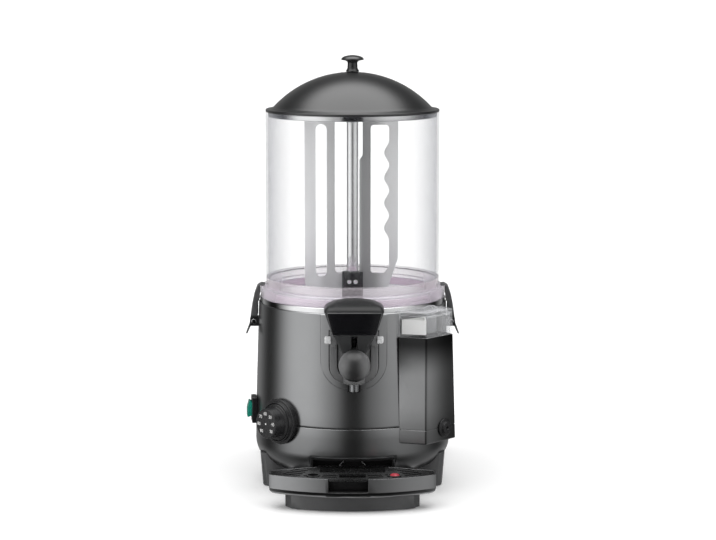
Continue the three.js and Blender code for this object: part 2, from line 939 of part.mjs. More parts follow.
function addBodyShell() {
  const bottom = seamZ + seamGap / 2;
  const profile = [
    [seamRadius - shellWall, bottom],
    [seamRadius - seamChamfer, bottom],
    [seamRadius, bottom + seamChamfer],
    [shellTopRadius, shellTop - seamChamfer],
    [shellTopRadius - seamChamfer, shellTop],
    [shellTopRadius - shellLip, shellTop],
    [shellTopRadius - shellLip, shellTop - shellWall],
    [shellTopRadius - shellWall, shellTop - 2 * shellWall],
  ];
  const spoutHole = placed(disc(panSpoutRadius + 2 * gap, 0, bellyRadius, smallRound), spoutFrame);
  const pipeHole = placed(disc(waterPipeRadius + gap, 0, bellyRadius + overrun, tinyRound), waterPipeFrame);
  add('body_shell', cut(turned(profile), spoutHole, pipeHole, ...sideHoles()), satinBlack);
}

function addTank() {
  const inner = tankRadius - tankWall;
  const shell = turned([
    [tankTubeRadius - tankWall, tankBottom],
    [tankRadius, tankBottom],
    [tankRadius, tankTop - tankWall],
    [tankRimRadius, tankTop - tankWall],
    [tankRimRadius, tankTop],
    [inner, tankTop],
    [inner, tankBottom + tankWall],
    [tankTubeRadius, tankBottom + tankWall],
    [tankTubeRadius, tankTubeTop],
    [tankTubeRadius - tankWall, tankTubeTop],
  ]);
  const spoutHole = placed(disc(panSpoutRadius + gap, 0, bellyRadius, smallRound), spoutFrame);
  const pipe = placed(disc(waterPipeRadius, inner, waterPipeReach, tinyRound), waterPipeFrame);
  const pipeBore = waterPipeRadius - waterPipeWall;
  const bore = placed(disc(pipeBore, inner - overrun, waterPipeReach + overrun, tinyRound), waterPipeFrame);
  const legHoles = heaterLegPlaces().map(([x, y]) => (
    disc(heaterTube + gap, tankBottom - overrun, tankBottom + overrun, tinyRound).translate([x, y, 0])
  ));
  add('water_tank', cut(join(shell, pipe), bore, spoutHole, ...legHoles), brushedSteel);
  const standInner = tankStandRadius - tankStandWall;
  add('tank_stand', turned([
    [standInner, basePlateTop + gap],
    [tankStandRadius, basePlateTop + gap],
    [tankStandRadius, tankBottom - gap - tankStandWall],
    [tankStandRadius + tankStandFlange, tankBottom - gap - tankStandWall],
    [tankStandRadius + tankStandFlange, tankBottom - gap],
    [standInner, tankBottom - gap],
  ], midRound), brushedSteel);
}

function heaterLegPlaces() {
  const half = Math.PI * heaterSweepShare;
  return [half, -half].map((angle) => [heaterRadius * Math.sin(angle), -heaterRadius * Math.cos(angle)]);
}

// Heater: an open ring of tube with a leg down through the tank's floor at each end
function addHeater() {
  const half = Math.PI * heaterSweepShare;
  const z = tankBottom + tankWall + heaterRise;
  const section = new THREE.Shape().absarc(0, 0, heaterTube, 0, 2 * Math.PI);
  class RingPath extends THREE.Curve {
    getPoint(t, target = new THREE.Vector3()) {
      const angle = -half + 2 * half * t;
      return target.set(heaterRadius * Math.sin(angle), -heaterRadius * Math.cos(angle), z);
    }
  }
  const coil = solid(new THREE.ExtrudeGeometry(section, {
    steps: midRound + tinyRound,
    curveSegments: heaterSides / 2,
    extrudePath: new RingPath(),
    bevelEnabled: false,
  }));
  const legs = heaterLegPlaces().map(([x, y]) => (
    disc(heaterTube, tankBottom - heaterLeg, z, tinyRound).translate([x, y, 0])
  ));
  add('heating_element', join(coil, ...legs), brushedSteel);
}

function addPan() {
  const rimInner = collarRadius - collarWall;
  const inside = panRadius - panWall;
  const shell = turned([
    [collarRadius, shellTop + gap],
    [collarRadius, collarTop],
    [inside, collarTop],
    [inside, panShoulderZ],
    [panFootRadius - panWall, panFootZ + panWall],
    [panTubeRadius, panFloorZ + panWall],
    [panTubeRadius, panTubeTop],
    [panTubeRadius - panWall, panTubeTop],
    [panTubeRadius - panWall, panFloorZ],
    [panFootRadius, panFootZ],
    [panRadius, panShoulderZ],
    [panRadius, collarTop - collarWall],
    [rimInner, collarTop - collarWall],
    [rimInner, shellTop + gap],
  ]);
  const spoutStart = panFootRadius - 2 * panWall;
  const spout = placed(disc(panSpoutRadius, spoutStart, panSpoutReach, smallRound), spoutFrame);
  const boreDisc = disc(panSpoutBore, panFootRadius / 2, panSpoutReach + overrun, smallRound);
  const bore = placed(boreDisc, spoutFrame);
  const inward = turned([
    [0, panFloorZ + panWall],
    [panTubeRadius, panFloorZ + panWall],
    [panFootRadius - panWall, panFootZ + panWall],
    [inside, panShoulderZ],
    [inside, collarTop],
    [0, collarTop],
  ]);
  add('product_pan', cut(join(shell, cut(spout, inward)), bore), polishedSteel);
}

function addBowl() {
  const base = collarTop + gap;
  const web = footRingTop - footWeb;
  const inner = bowlRadius - bowlWall;
  const gasketOuter = footRingRadius - footRingWall - gap;
  add('bowl_gasket', ring(gasketInner, gasketOuter, base, base + gasketHeight, bigRound), pinkSilicone);
  add('bowl', turned([
    [inner, bowlTop],
    [bowlRadius, bowlTop],
    [bowlRadius, footRingTop + footRingWall],
    [bowlRadius + footRingWall / 2, footRingTop],
    [footRingRadius, footRingTop],
    [footRingRadius, base],
    [footRingRadius - footRingWall, base],
    [footRingRadius - footRingWall, web],
    [floorRingInner, web],
    [floorRingInner, floorRingTop],
    [inner, floorRingTop + floorRingSlope],
  ]), clearPlastic);
}

function addDrive() {
  add('gear_motor', turned([
    [0, basePlateTop + gap],
    [motorRadius, basePlateTop + gap],
    [motorRadius, gearboxBottom],
    [gearboxRadius, gearboxBottom],
    [gearboxRadius, gearboxTop],
    [motorNeckRadius, gearboxTop],
    [motorNeckRadius, motorNeckTop],
    [shaftRadius + shaftRunning, motorNeckTop],
    [shaftRadius + shaftRunning, motorNeckTop - shaftSocket],
    [0, motorNeckTop - shaftSocket],
  ]), motorGrey);
  const shaftBottom = motorNeckTop - shaftSocket + gap;
  add('drive_shaft', disc(shaftRadius, shaftBottom, shaftTop, smallRound), brushedSteel);
  const sealOuter = tankTubeRadius - tankWall - shaftRunning;
  const sealTop = tankTubeTop;
  add('shaft_seal', turned([
    [shaftRadius + shaftRunning, sealTop - shaftSealHeight],
    [sealOuter, sealTop - shaftSealHeight],
    [sealOuter, sealTop + gap],
    [tankTubeRadius, sealTop + gap],
    [tankTubeRadius, sealTop + tankWall],
    [shaftRadius + shaftRunning, sealTop + tankWall],
  ], smallRound), whitePlastic);
}

function addStirrer() {
  const tubeClearance = panTubeRadius + 2 * gap;
  const body = turned([
    [0, shaftTop + gap],
    [shaftRadius + shaftRunning, shaftTop + gap],
    [shaftRadius + shaftRunning, shaftTop - hubShaftDepth],
    [tubeClearance, panTubeTop + 2 * gap],
    [tubeClearance, hubBottom],
    [hubSkirtRadius, hubBottom],
    [hubSkirtRadius, hubSkirtTop - footRingWall],
    [hubRadius, hubSkirtTop],
    [hubRadius, hubTop],
    [0, hubTop],
  ], midRound);
  const slotHalf = bladeThickness / 2 + gap;
  const slotStart = hubRadius - bladeSlotDepth - gap;
  const slotEnd = hubRadius + overrun;
  const slots = [[slotStart, slotEnd], [-slotEnd, -slotStart]].map(([lowX, highX]) => (
    block(lowX, highX, -slotHalf, slotHalf, bladeBottom - gap, hubTop + overrun)
  ));
  const boltHoles = [-boltX, boltX].map((x) => placed(
    disc(boltShankRadius + gap, hubRadius - boltDepth - gap, hubRadius + overrun, tinyRound),
    outwardFrame(0, boltZ).premultiply(new THREE.Matrix4().makeTranslation(x, 0, 0)),
  ));
  add('stirrer_hub', cut(body, ...slots, ...boltHoles), deepBlack);
  for (const [name, x] of [['stirrer_bolt_left', -boltX], ['stirrer_bolt_right', boltX]]) {
    const faceReach = hubRadius + gap;
    const bolt = turned([
      [0, hubRadius - boltDepth],
      [boltShankRadius, hubRadius - boltDepth],
      [boltShankRadius, faceReach],
      [boltHeadRadius, faceReach],
      [boltHeadRadius, faceReach + boltHead],
      [0, faceReach + boltHead],
    ], tinyRound);
    const frame = outwardFrame(0, boltZ).premultiply(new THREE.Matrix4().makeTranslation(x, 0, 0));
    add(name, placed(bolt, frame), polishedSteel);
  }
  add('stirrer_column', disc(columnRadius, hubTop + gap, columnTop, midRound), polishedSteel);
  add('stirrer_cap', turned([
    [0, columnTop + gap],
    [capRadius, columnTop + gap],
    [capRadius, capTop - capRound],
    [capRadius - capRound, capTop],
    [0, capTop],
  ], midRound), deepBlack);
}

function bladeSolid(shape) {
  return carriedForward(shape, -bladeThickness / 2, bladeThickness / 2);
}

// Left blade: a strip with one long window, on a web that runs into the hub
function addLeftBlade() {
  const root = -(hubRadius - bladeSlotDepth);
  const windowMiddle = (leftWindowOuter + leftWindowInner) / 2;
  const windowHalf = (leftWindowOuter - leftWindowInner) / 2;
  const shape = outline([
    [root, bladeBottom],
    [root, leftWebTop],
    [-leftInner + windowHalf / 2, leftWebTop],
    [-leftInner, leftWebTop + windowHalf / 2],
    [-leftInner, bladeTop],
    [-leftOuter, bladeTop],
    [-leftOuter, bladeBottom + windowHalf],
    [-leftOuter + windowHalf, bladeBottom],
  ]);
  const window = new THREE.Path();
  window.absarc(-windowMiddle, leftWindowTop - windowHalf, windowHalf, 0, Math.PI, false);
  window.absarc(-windowMiddle, leftWindowBottom + windowHalf, windowHalf, Math.PI, 2 * Math.PI, false);
  shape.holes.push(window);
  add('stirrer_left_blade', bladeSolid(shape), bladePlastic);
}

// Right blade: an inner bar that steps in towards the column, and an outer bar whose inner edge is scalloped
function addRightBlade() {
  const root = hubRadius - bladeSlotDepth;
  const shape = outline([
    [root, bladeBottom],
    [rightFootOuter, bladeBottom],
    [rightOuter, rightFootZ],
    [rightOuter, bladeTop],
    [rightInnerTop, bladeTop],
    [rightInnerTop, rightStepZ],
    [rightInnerLow, rightStepZ - rightStepRun],
    [rightInnerLow, hubTop],
    [root, hubTop - gap],
  ]);
  const corner = rightWindowCorner;
  const window = new THREE.Path();
  window.moveTo(rightWindowInner, rightWindowBottom + corner / 2);
  window.lineTo(rightWindowInner + corner / 2, rightWindowBottom);
  window.lineTo(rightWindowOuter - waveDepth, rightWindowBottom);
  window.lineTo(rightWindowOuter, rightWindowBottom + corner);
  const waveBottom = waveTop - waveCount * wavePitch;
  for (let step = 0; step <= waveCount * waveSteps; step += 1) {
    const turns = step / waveSteps;
    const inward = (waveDepth / 2) * (1 - Math.cos(2 * Math.PI * turns));
    window.lineTo(rightWindowOuter - inward, waveBottom + turns * wavePitch);
  }
  window.lineTo(rightWindowOuter, rightWindowTop - corner / 2);
  window.lineTo(rightWindowOuter - corner / 2, rightWindowTop);
  window.lineTo(rightWindowInner + corner / 2, rightWindowTop);
  window.lineTo(rightWindowInner, rightWindowTop - corner / 2);
  shape.holes.push(window);
  add('stirrer_right_blade', bladeSolid(shape), bladePlastic);
}

// Cap of a sphere as profile points, from the rim up to the axis
function domeProfile(rimRadius, rise, rimZ, innerLimit) {
  const sphere = (rimRadius * rimRadius + rise * rise) / (2 * rise);
  const centreZ = rimZ + rise - sphere;
  const rimAngle = Math.asin(rimRadius / sphere);
  const endAngle = Math.asin(innerLimit / sphere);
  const points = [];
  for (let step = 0; step <= domeSteps; step += 1) {
    const angle = rimAngle + ((endAngle - rimAngle) * step) / domeSteps;
    points.push([sphere * Math.sin(angle), centreZ + sphere * Math.cos(angle)]);
  }
  return points;
}

function addLid() {
  const seat = bowlTop + gap;
  const rimTop = seat + lidRimHeight;
  const domeZ = rimTop + lidWall;
  const hole = knobStudRadius + gap;
  const skirtTop = seat + lidWall - gap;
  const bossBottom = domeZ + lidDomeHeight - lidWall - lidBossHeight;
  add('lid_dome', turned([
    [hole, bossBottom],
    [lidBossRadius, bossBottom],
    ...domeProfile(lidDomeRadius - lidWall, lidDomeHeight - lidWall, domeZ, lidBossRadius).reverse(),
    [lidRimRadius - lidSeatWidth - gap, skirtTop + gap],
    [lidRimRadius - lidSeatWidth, seat],
    [lidRimRadius, seat],
    [lidRimRadius, rimTop],
    [lidDomeRadius + lidWall, rimTop],
    ...domeProfile(lidDomeRadius, lidDomeHeight, domeZ, hole),
  ]), satinBlack);
  const skirtInner = skirtRadius - skirtWall;
  add('lid_skirt', turned([
    [skirtRadius, seat - skirtDrop],
    [skirtRadius, skirtTop],
    [skirtRadius - skirtFlange, skirtTop],
    [skirtRadius - skirtFlange, skirtTop - skirtWall],
    [skirtInner, skirtTop - skirtWall],
    [skirtInner, seat - skirtDrop],
  ]), polishedSteel);
  const domeTop = domeZ + lidDomeHeight;
  const headBottom = knobTop - knobHeadHeight;
  const head = [];
  for (let step = 0; step <= knobHeadSteps; step += 1) {
    const angle = (Math.PI / 2) * (step / knobHeadSteps);
    head.push([knobHeadRadius * Math.cos(angle), knobTop - knobHeadHeight * (1 - Math.sin(angle))]);
  }
  head[head.length - 1] = [0, knobTop];
  const studBottom = bossBottom + gap;
  add('lid_knob', turned([
    [0, studBottom],
    [knobStudRadius, studBottom],
    [knobStudRadius, domeTop + gap],
    [knobStemFoot, domeTop + gap],
    [knobStemRadius, domeTop + 3 * gap],
    [knobNeckRadius, headBottom - lidWall],
    [knobHeadRadius - 2 * lidWall, headBottom - lidWall / 2],
    ...head,
  ], midRound), satinBlack);
}

// Latch from the front, on the right side: a hook over the bowl's foot, a back that leans out, a finger tab
function latchOuterLine() {
  const lip = footRingTop + gap;
  return [
    [latchHookX, lip + latchHookThickness],
    [footRingRadius, lip + latchHookThickness + latchHookCrown],
    [latchShoulderX, lip - latchHookCrown],
    [latchBrowX, latchBrowZ],
    [latchBackX, latchBackZ],
    [latchWaistX, latchWaistZ],
    [latchElbowX, latchElbowZ],
  ];
}

function latchPoints() {
  const lip = footRingTop + gap;
  return [
    [latchHookX, lip],
    ...latchOuterLine(),
    [latchTipX, latchTipZ],
    [latchTipX - latchTab, latchTipZ - latchTab / 2],
    [latchElbowX - latchTab, latchElbowZ - 2 * latchTab],
    [latchPivotX - latchBossRadius, latchPivotZ - latchBossRadius / 2],
    [latchPivotX - latchBossRadius, latchCheekZ],
    [shellTopRadius + latchTab, latchCheekZ],
    [shellTopRadius + latchTab, shellTop],
    [collarRadius + 3 * gap, shellTop + 2 * gap],
    [collarRadius + 3 * gap, collarTop + 2 * gap],
    [footRingRadius + 3 * gap, collarTop + 2 * gap + latchTab],
    [footRingRadius + 3 * gap, lip],
  ];
}

// The latch is a channel: its inside is open towards the bowl, behind a back as thick as its cheeks
function latchChannel() {
  const line = latchOuterLine().slice(2, -1).map(([x, z]) => [x - latchChannelWall, z]);
  const [topX] = line[0];
  const topZ = footRingTop - latchChannelWall;
  const bottomZ = latchCheekZ + latchChannelWall;
  line[0] = [topX, topZ];
  line[line.length - 1][1] = bottomZ;
  return outline([[latchHookX, bottomZ], [latchHookX, topZ], ...line]);
}

function mirrored(shape, side) {
  return side > 0 ? shape : shape.mirror([1, 0, 0]);
}

function addLatch(side, word) {
  const half = latchWidth / 2;
  const tongueHalf = latchTongueWidth / 2;
  const lever = carriedForward(outline(latchPoints()), -half, half);
  const boss = disc(latchBossRadius, -tongueHalf, tongueHalf, smallRound);
  const acrossFrame = new THREE.Matrix4().makeBasis(right, up, front)
    .setPosition(latchPivotX, 0, latchPivotZ);
  const sideCuts = [[-half - overrun, -tongueHalf], [tongueHalf, half + overrun]].flatMap(([near, far]) => [
    block(0, bracketOuter + 2 * gap, near, far, 0, latchCheekZ),
    block(0, latchTipX + overrun, near, far, latchWideTabZ, latchCheekZ),
  ]);
  const pinHole = placed(disc(latchPinRadius + gap, -half, half, tinyRound), acrossFrame);
  const channelHalf = half - latchChannelWall;
  const channel = carriedForward(latchChannel(), -channelHalf, channelHalf);
  const latch = cut(join(cut(lever, channel, ...sideCuts), placed(boss, acrossFrame)), pinHole);
  add(`${word}_latch`, mirrored(latch, side), satinBlack);

  const cheekInner = tongueHalf + gap;
  const cheekOuter = cheekInner + bracketCheek;
  const whole = block(
    latchPivotX - 3 * bracketBack, bracketOuter, -cheekOuter, cheekOuter, bracketBottom, bracketTop,
  );
  const pocket = block(
    latchPivotX - bracketBack - gap, bracketOuter + overrun, -cheekInner, cheekInner,
    bracketBottom - overrun, bracketTop + overrun,
  );
  const bracket = cut(whole, pocket, shellEnvelope(gap), pinHole);
  add(`${word}_latch_bracket`, mirrored(bracket, side), deepBlack);

  const pin = turned([
    [0, -cheekOuter - gap],
    [latchPinRadius, -cheekOuter - gap],
    [latchPinRadius, cheekOuter + gap],
    [latchPinHead, cheekOuter + gap],
    [latchPinHead, cheekOuter + gap + latchPinHeadLength],
    [0, cheekOuter + gap + latchPinHeadLength],
  ], tinyRound);
  add(`${word}_latch_pin`, mirrored(placed(pin, acrossFrame), side), polishedSteel);
}

function panelSurface(margin) {
  return turned([
    [0, tapPanelBottom - overrun],
    [shellRadiusAt(tapPanelBottom - overrun) + margin, tapPanelBottom - overrun],
    [shellRadiusAt(tapPanelTop + overrun) + margin, tapPanelTop + overrun],
    [0, tapPanelTop + overrun],
  ]);
}

function addTapPanel() {
  const shape = outline(uOutline(tapPanelHalfWidth, tapPanelBottom, tapPanelTop, tapPanelCorner));
  const drawn = carriedForward(shape, shellTopRadius / 2, frontReach);
  const skin = cut(panelSurface(tapPanelRise), panelSurface(gap));
  const spoutHole = placed(disc(panSpoutRadius + 2 * gap, 0, frontReach, smallRound), tapSpoutFrame);
  addTapPiece('tap_panel', cut(drawn.intersect(skin), spoutHole), satinBlack);
}

function addTapHousing() {
  const axis = [0, -tapReach, 0];
  const barrel = disc(barrelRadius, barrelBottom, barrelTop).translate(axis);
  const neck = disc(neckRadius, barrelTop - overrun, neckTop, smallRound).translate(axis);
  const apronShape = outline(uOutline(apronHalfWidth, apronBottom, apronTop, apronCorner));
  const apron = carriedForward(apronShape, shellTopRadius, apronReach);
  const hollowShape = outline(uOutline(
    apronHalfWidth - apronRidge, apronBottom + apronRidge, apronTop + overrun, apronCorner - apronRidge,
  ));
  const hollow = carriedForward(hollowShape, apronReach - apronRecess, frontReach);
  const outlet = block(
    -outletBlockHalf, outletBlockHalf, shellTopRadius, tapReach - nozzleRadius - nozzleCollar / 2 - gap,
    outletBlockBottom, barrelBottom + overrun,
  );
  const inlet = placed(disc(panSpoutRadius, panSpoutReach + gap, tapReach, smallRound), tapSpoutFrame);
  const trimmed = cut(join(cut(apron, hollow), outlet), panelSurface(tapPanelRise + gap));
  const bore = placed(disc(panSpoutBore, panSpoutReach - overrun, tapReach, smallRound), tapSpoutFrame);
  const chamberTop = barrelTop - lidPlateThickness;
  const chamber = disc(chamberRadius, barrelBottom + seatThickness, chamberTop).translate(axis);
  const seatTop = barrelBottom + seatThickness + overrun;
  const seat = disc(seatRadius, barrelBottom - overrun, seatTop, smallRound).translate(axis);
  const rodRoom = pistonRodRadius + rodClearance;
  const rodHole = disc(rodRoom, chamberTop - overrun, neckTop + overrun, smallRound).translate(axis);
  const eye = leverEyeRadius + 2 * gap;
  const roomHalf = forkWidth / 2 + gap;
  const leverRoom = block(-roomHalf, roomHalf, pivotReach - eye, frontReach, pivotZ - eye, shellTop);
  const pinRoom = join(
    acrossDisc(pivotPinRadius + gap, -apronHalfWidth, apronHalfWidth),
    acrossDisc(pivotPinHead + gap, pinHalf - gap, apronHalfWidth + overrun),
    acrossDisc(pivotPinHead + gap, -apronHalfWidth - overrun, -pinHalf + gap),
  );
  const whole = join(trimmed, barrel, neck, inlet);
  addTapPiece('tap_housing', cut(whole, bore, chamber, seat, rodHole, leverRoom, pinRoom), satinBlack);
}

// A disc lying across the tap, on the lever's pivot
function acrossDisc(radius, low, high, facets = smallRound) {
  const frame = new THREE.Matrix4().makeBasis(back, up, right).setPosition(0, -pivotReach, pivotZ);
  return placed(disc(radius, low, high, facets), frame);
}

function addTapNozzle() {
  const top = barrelBottom - gap;
  const nozzle = turned([
    [nozzleRadius - nozzleWall, nozzleBottom],
    [nozzleRadius, nozzleBottom],
    [nozzleRadius, top - nozzleCollar],
    [nozzleRadius + nozzleCollar / 2, top - nozzleCollar],
    [nozzleRadius + nozzleCollar / 2, top],
    [nozzleRadius - nozzleWall, top],
  ], smallRound);
  addTapPiece('tap_nozzle', nozzle.translate([0, -tapReach, 0]), polishedSteel);
}

function addPiston() {
  const bottom = barrelBottom + seatThickness + gap;
  addTapPiece('tap_piston', turned([
    [0, bottom],
    [pistonHeadRadius, bottom],
    [pistonHeadRadius, bottom + pistonHeadHeight],
    [pistonRodRadius, bottom + pistonHeadHeight],
    [pistonRodRadius, pistonCollarZ],
    [pistonCollarRadius, pistonCollarZ],
    [pistonCollarRadius, pistonCollarZ + pistonCollarHeight],
    [pistonRodRadius, pistonCollarZ + pistonCollarHeight],
    [pistonRodRadius, pistonRodTop],
    [0, pistonRodTop],
  ], smallRound).translate([0, -tapReach, 0]), whitePlastic);
}

// Points of the return spring's centre line, closed up at neither end
function springPoint(share) {
  const bottom = pistonCollarZ + pistonCollarHeight + gap + springWire;
  const top = springSeatZ - gap - springWire;
  const angle = 2 * Math.PI * springTurns * share;
  return new THREE.Vector3(
    springRadius * Math.cos(angle),
    springRadius * Math.sin(angle) - tapReach,
    bottom + (top - bottom) * share,
  );
}

function addSpring() {
  const rings = springTurns * springStepsPerTurn;
  const places = [];
  const triangles = [];
  for (let i = 0; i <= rings; i += 1) {
    const centre = springPoint(i / rings);
    const ahead = springPoint((i + 1 / 2) / rings).sub(springPoint((i - 1 / 2) / rings)).normalize();
    const outward = new THREE.Vector3(centre.x, centre.y + tapReach, 0).normalize();
    const side = new THREE.Vector3().crossVectors(ahead, outward).normalize();
    for (let k = 0; k < springSides; k += 1) {
      const angle = (2 * Math.PI * k) / springSides;
      const point = centre.clone()
        .addScaledVector(outward, springWire * Math.cos(angle))
        .addScaledVector(side, springWire * Math.sin(angle));
      places.push(point.x, point.y, point.z);
    }
  }
  for (let i = 0; i < rings; i += 1) {
    for (let k = 0; k < springSides; k += 1) {
      const a = i * springSides + k;
      const b = i * springSides + ((k + 1) % springSides);
      triangles.push(a, b, a + springSides, b, b + springSides, a + springSides);
    }
  }
  for (let k = 1; k < springSides - 1; k += 1) {
    const last = rings * springSides;
    triangles.push(0, k + 1, k, last, last + k, last + k + 1);
  }
  const geometry = new THREE.BufferGeometry();
  geometry.setAttribute('position', new THREE.Float32BufferAttribute(places, 3));
  geometry.setIndex(triangles);
  addTapPiece('tap_spring', solid(geometry), brushedSteel);
  const rise = springPoint(1 / springTurns).z - springPoint(0).z;
  console.log(`tap spring, least gap between turns: ${(rise - 2 * springWire).toFixed(2)} mm`);
}

// Lever: a forked bar from the pivot to the ball, drawn along its own length and then tilted
function addLever() {
  const run = ballReach - pivotReach;
  const drop = pivotZ - ballZ;
  const length = Math.hypot(run, drop);
  const tilt = Math.atan2(drop, run);
  const frame = new THREE.Matrix4().makeRotationX(tilt).setPosition(0, -pivotReach, pivotZ);
  const half = leverThickness / 2;
  const along = (lowX, highX, near, far) => block(lowX, highX, near, far, -half, half);
  const acrossLever = new THREE.Matrix4().makeBasis(back, up, right);
  const eye = placed(disc(leverEyeRadius, -forkWidth / 2, forkWidth / 2, smallRound), acrossLever);
  const fork = along(-forkWidth / 2, forkWidth / 2, 0, forkLength);
  const bar = along(-leverWidth / 2, leverWidth / 2, 0, length - ballRadius + ballCollarLength);
  const slot = block(
    -forkSlotHalfWidth, forkSlotHalfWidth, forkSlotStart, forkSlotEnd, -half - overrun, half + overrun,
  );
  const pinHole = placed(disc(pivotPinRadius + gap, -forkWidth, forkWidth, smallRound), acrossLever);
  addTapPiece('tap_lever', placed(cut(join(eye, fork, bar), slot, pinHole), frame), satinBlack);

  const ball = solid(new THREE.SphereGeometry(ballRadius, midRound, smallRound).translate(0, -length, 0));
  const socket = block(
    -leverWidth / 2 - gap, leverWidth / 2 + gap, 0, length - ballRadius + ballCollarLength + gap,
    -half - gap, half + gap,
  );
  const collarFrame = new THREE.Matrix4().makeBasis(right, up, front);
  const collar = placed(
    disc(ballCollarRadius, length - ballRadius - ballCollarLength / 2, length - ballRadius / 2, smallRound),
    collarFrame,
  );
  addTapPiece('tap_ball', placed(cut(join(ball, collar), socket), frame), deepBlack);
}

function addPivotPin() {
  addTapPiece('tap_pin', join(
    acrossDisc(pivotPinRadius, -pinHalf, pinHalf),
    acrossDisc(pivotPinHead, -pinHalf - pivotPinHeadLength, -pinHalf),
    acrossDisc(pivotPinHead, pinHalf, pinHalf + pivotPinHeadLength),
  ), whitePlastic);
}

// The nose from the front: a crown over sloping cheeks that meet at a narrow tip
function noseFrontOutline(inset) {
  const half = [
    [noseTipHalf - inset, noseTipZ - inset],
    [noseWaistHalf - inset, noseWaistZ],
    [noseShoulderHalf - inset, noseShoulderZ - inset],
    [noseShoulderHalf - inset, noseShoulderZ],
    [noseBrowHalf - inset / 2, noseTop - noseBrowDrop - inset],
    [noseTempleHalf, noseTop - noseTempleDrop - inset],
    [noseCrownHalf, noseTop - noseCrownDrop - inset],
  ];
  const other = half.map(([x, z]) => [-x, z]).reverse();
  return outline([...half, [0, noseTop - inset], ...other]);
}

// The nose from the side: a flat front below a roof that curves back, and a tip that tapers below a step
function noseSidePoints(inset) {
  const points = [
    [noseBack - (inset > 0 ? overrun : 0), noseTipZ - inset],
    [noseTipReach - inset, noseTipZ - inset],
    [noseWaistReach - inset, noseWaistZ],
    [noseFront - inset, noseWaistZ + noseStep / 2],
  ];
  const roofRise = noseTop - noseShoulderZ;
  for (let step = 0; step <= noseRoofSteps; step += 1) {
    const angle = (Math.PI / 2) * (step / noseRoofSteps);
    points.push([
      noseBack + (noseFront - inset - noseBack) * Math.cos(angle),
      noseShoulderZ + (roofRise - inset) * Math.sin(angle),
    ]);
  }
  return points.map(([reach, z]) => [Math.max(reach, noseBack - (inset > 0 ? overrun : 0)), z]);
}

function addNose() {
  const hull = (inset) => carriedForward(noseFrontOutline(inset), noseBack - overrun, noseFront + overrun)
    .intersect(carriedAcross(noseSidePoints(inset), -frontReach, frontReach));
  const shelf = block(
    -frontReach, frontReach, noseBack, frontReach, springSeatZ, springSeatZ + springSeatThickness,
  );
  const backWall = block(-frontReach, frontReach, 0, noseBack + noseWall, noseBackWallZ, noseTop);
  const hollow = cut(hull(noseWall), shelf, backWall);
  const rodRoom = pistonRodRadius + rodClearance;
  const rodHole = disc(rodRoom, springSeatZ - overrun, springSeatZ + 2 * overrun, smallRound)
    .translate([0, -tapReach, 0]);
  const slot = block(
    -noseSlotHalfWidth, noseSlotHalfWidth, tapReach, frontReach, noseSlotBottom, noseSlotTop,
  );
  const tipDoor = block(
    -barrelRadius - gap, barrelRadius + gap, noseBack - overrun, tapReach + barrelRadius + gap,
    noseTipZ - 2 * overrun, barrelTop + overrun + noseWall,
  );
  const pinHole = acrossDisc(pivotPinRadius + gap, -frontReach, frontReach);
  const roomHalf = apronHalfWidth + gap;
  const apronRoom = block(-roomHalf, roomHalf, 0, apronReach + gap, 0, apronTop + gap);
  addTapPiece('tap_cover', cut(hull(0), hollow, rodHole, slot, tipDoor, pinHole, apronRoom), satinBlack);
  const plate = outline([
    [plateBottomHalf, plateBottom],
    [plateTopHalf, plateTop],
    [-plateTopHalf, plateTop],
    [-plateBottomHalf, plateBottom],
  ]);
  const plateReach = noseFront + gap;
  addTapPiece('tap_plate', carriedForward(plate, plateReach, plateReach + plateThickness), glossBlack);
}

function addDial() {
  const seat = seamRadius + gap;
  const bezelFlat = turned([
    [thermostatBush + gap, bellyRadius - bezelRadius / 2],
    [bezelRadius - bezelUndercut, bellyRadius - bezelRadius / 2],
    [bezelRadius - bezelUndercut, seat + bezelThickness - bezelLip - bezelUndercut],
    [bezelRadius, seat + bezelThickness - bezelLip],
    [bezelRadius, seat + bezelThickness - seamChamfer],
    [bezelRadius - seamChamfer, seat + bezelThickness],
    [thermostatBush + gap, seat + bezelThickness],
  ]);
  const stepTop = seat + bezelThickness + bezelStep;
  const bezelStepRing = ring(knobSkirtRadius + 2 * gap, bezelStepRadius, seat, stepTop, bigRound);
  const bezel = cut(placed(join(bezelFlat, bezelStepRing), dialFrame), shellEnvelope(gap));
  add('dial_bezel', bezel, deepBlack);
  const skirtBase = seat + bezelThickness + 2 * gap;
  const shaftHole = dialShaftRadius + gap;
  const knob = turned([
    [0, dialReach],
    [dialTipRadius, dialReach],
    [dialRadius, skirtBase + knobSkirtThickness],
    [knobSkirtRadius, skirtBase + knobSkirtThickness - bezelStep / 4],
    [knobSkirtRadius, skirtBase],
    [shaftHole, skirtBase],
    [shaftHole, dialReach - 2 * dialHollow],
    [0, dialReach - 2 * dialHollow],
  ], bigRound);
  add('dial_knob', placed(knob, dialFrame), deepBlack);
  const bodyTop = seamRadius - shellWall - spigotWall - 4 * gap;
  const flatBack = Math.sqrt(bodyTop * bodyTop - thermostatRadius * thermostatRadius);
  const thermostat = turned([
    [0, flatBack - thermostatDepth],
    [thermostatRadius, flatBack - thermostatDepth],
    [thermostatRadius, flatBack],
    [thermostatBush, flatBack],
    [thermostatBush, seat + bezelThickness],
    [dialShaftRadius, seat + bezelThickness],
    [dialShaftRadius, dialReach - 2 * dialHollow - gap],
    [0, dialReach - 2 * dialHollow - gap],
  ], smallRound);
  add('thermostat', placed(thermostat, dialFrame), brushedSteel);
}

function boxAbout(halfX, halfY, low, high) {
  return solid(new THREE.BoxGeometry(2 * halfX, 2 * halfY, high - low).translate(0, 0, (low + high) / 2));
}

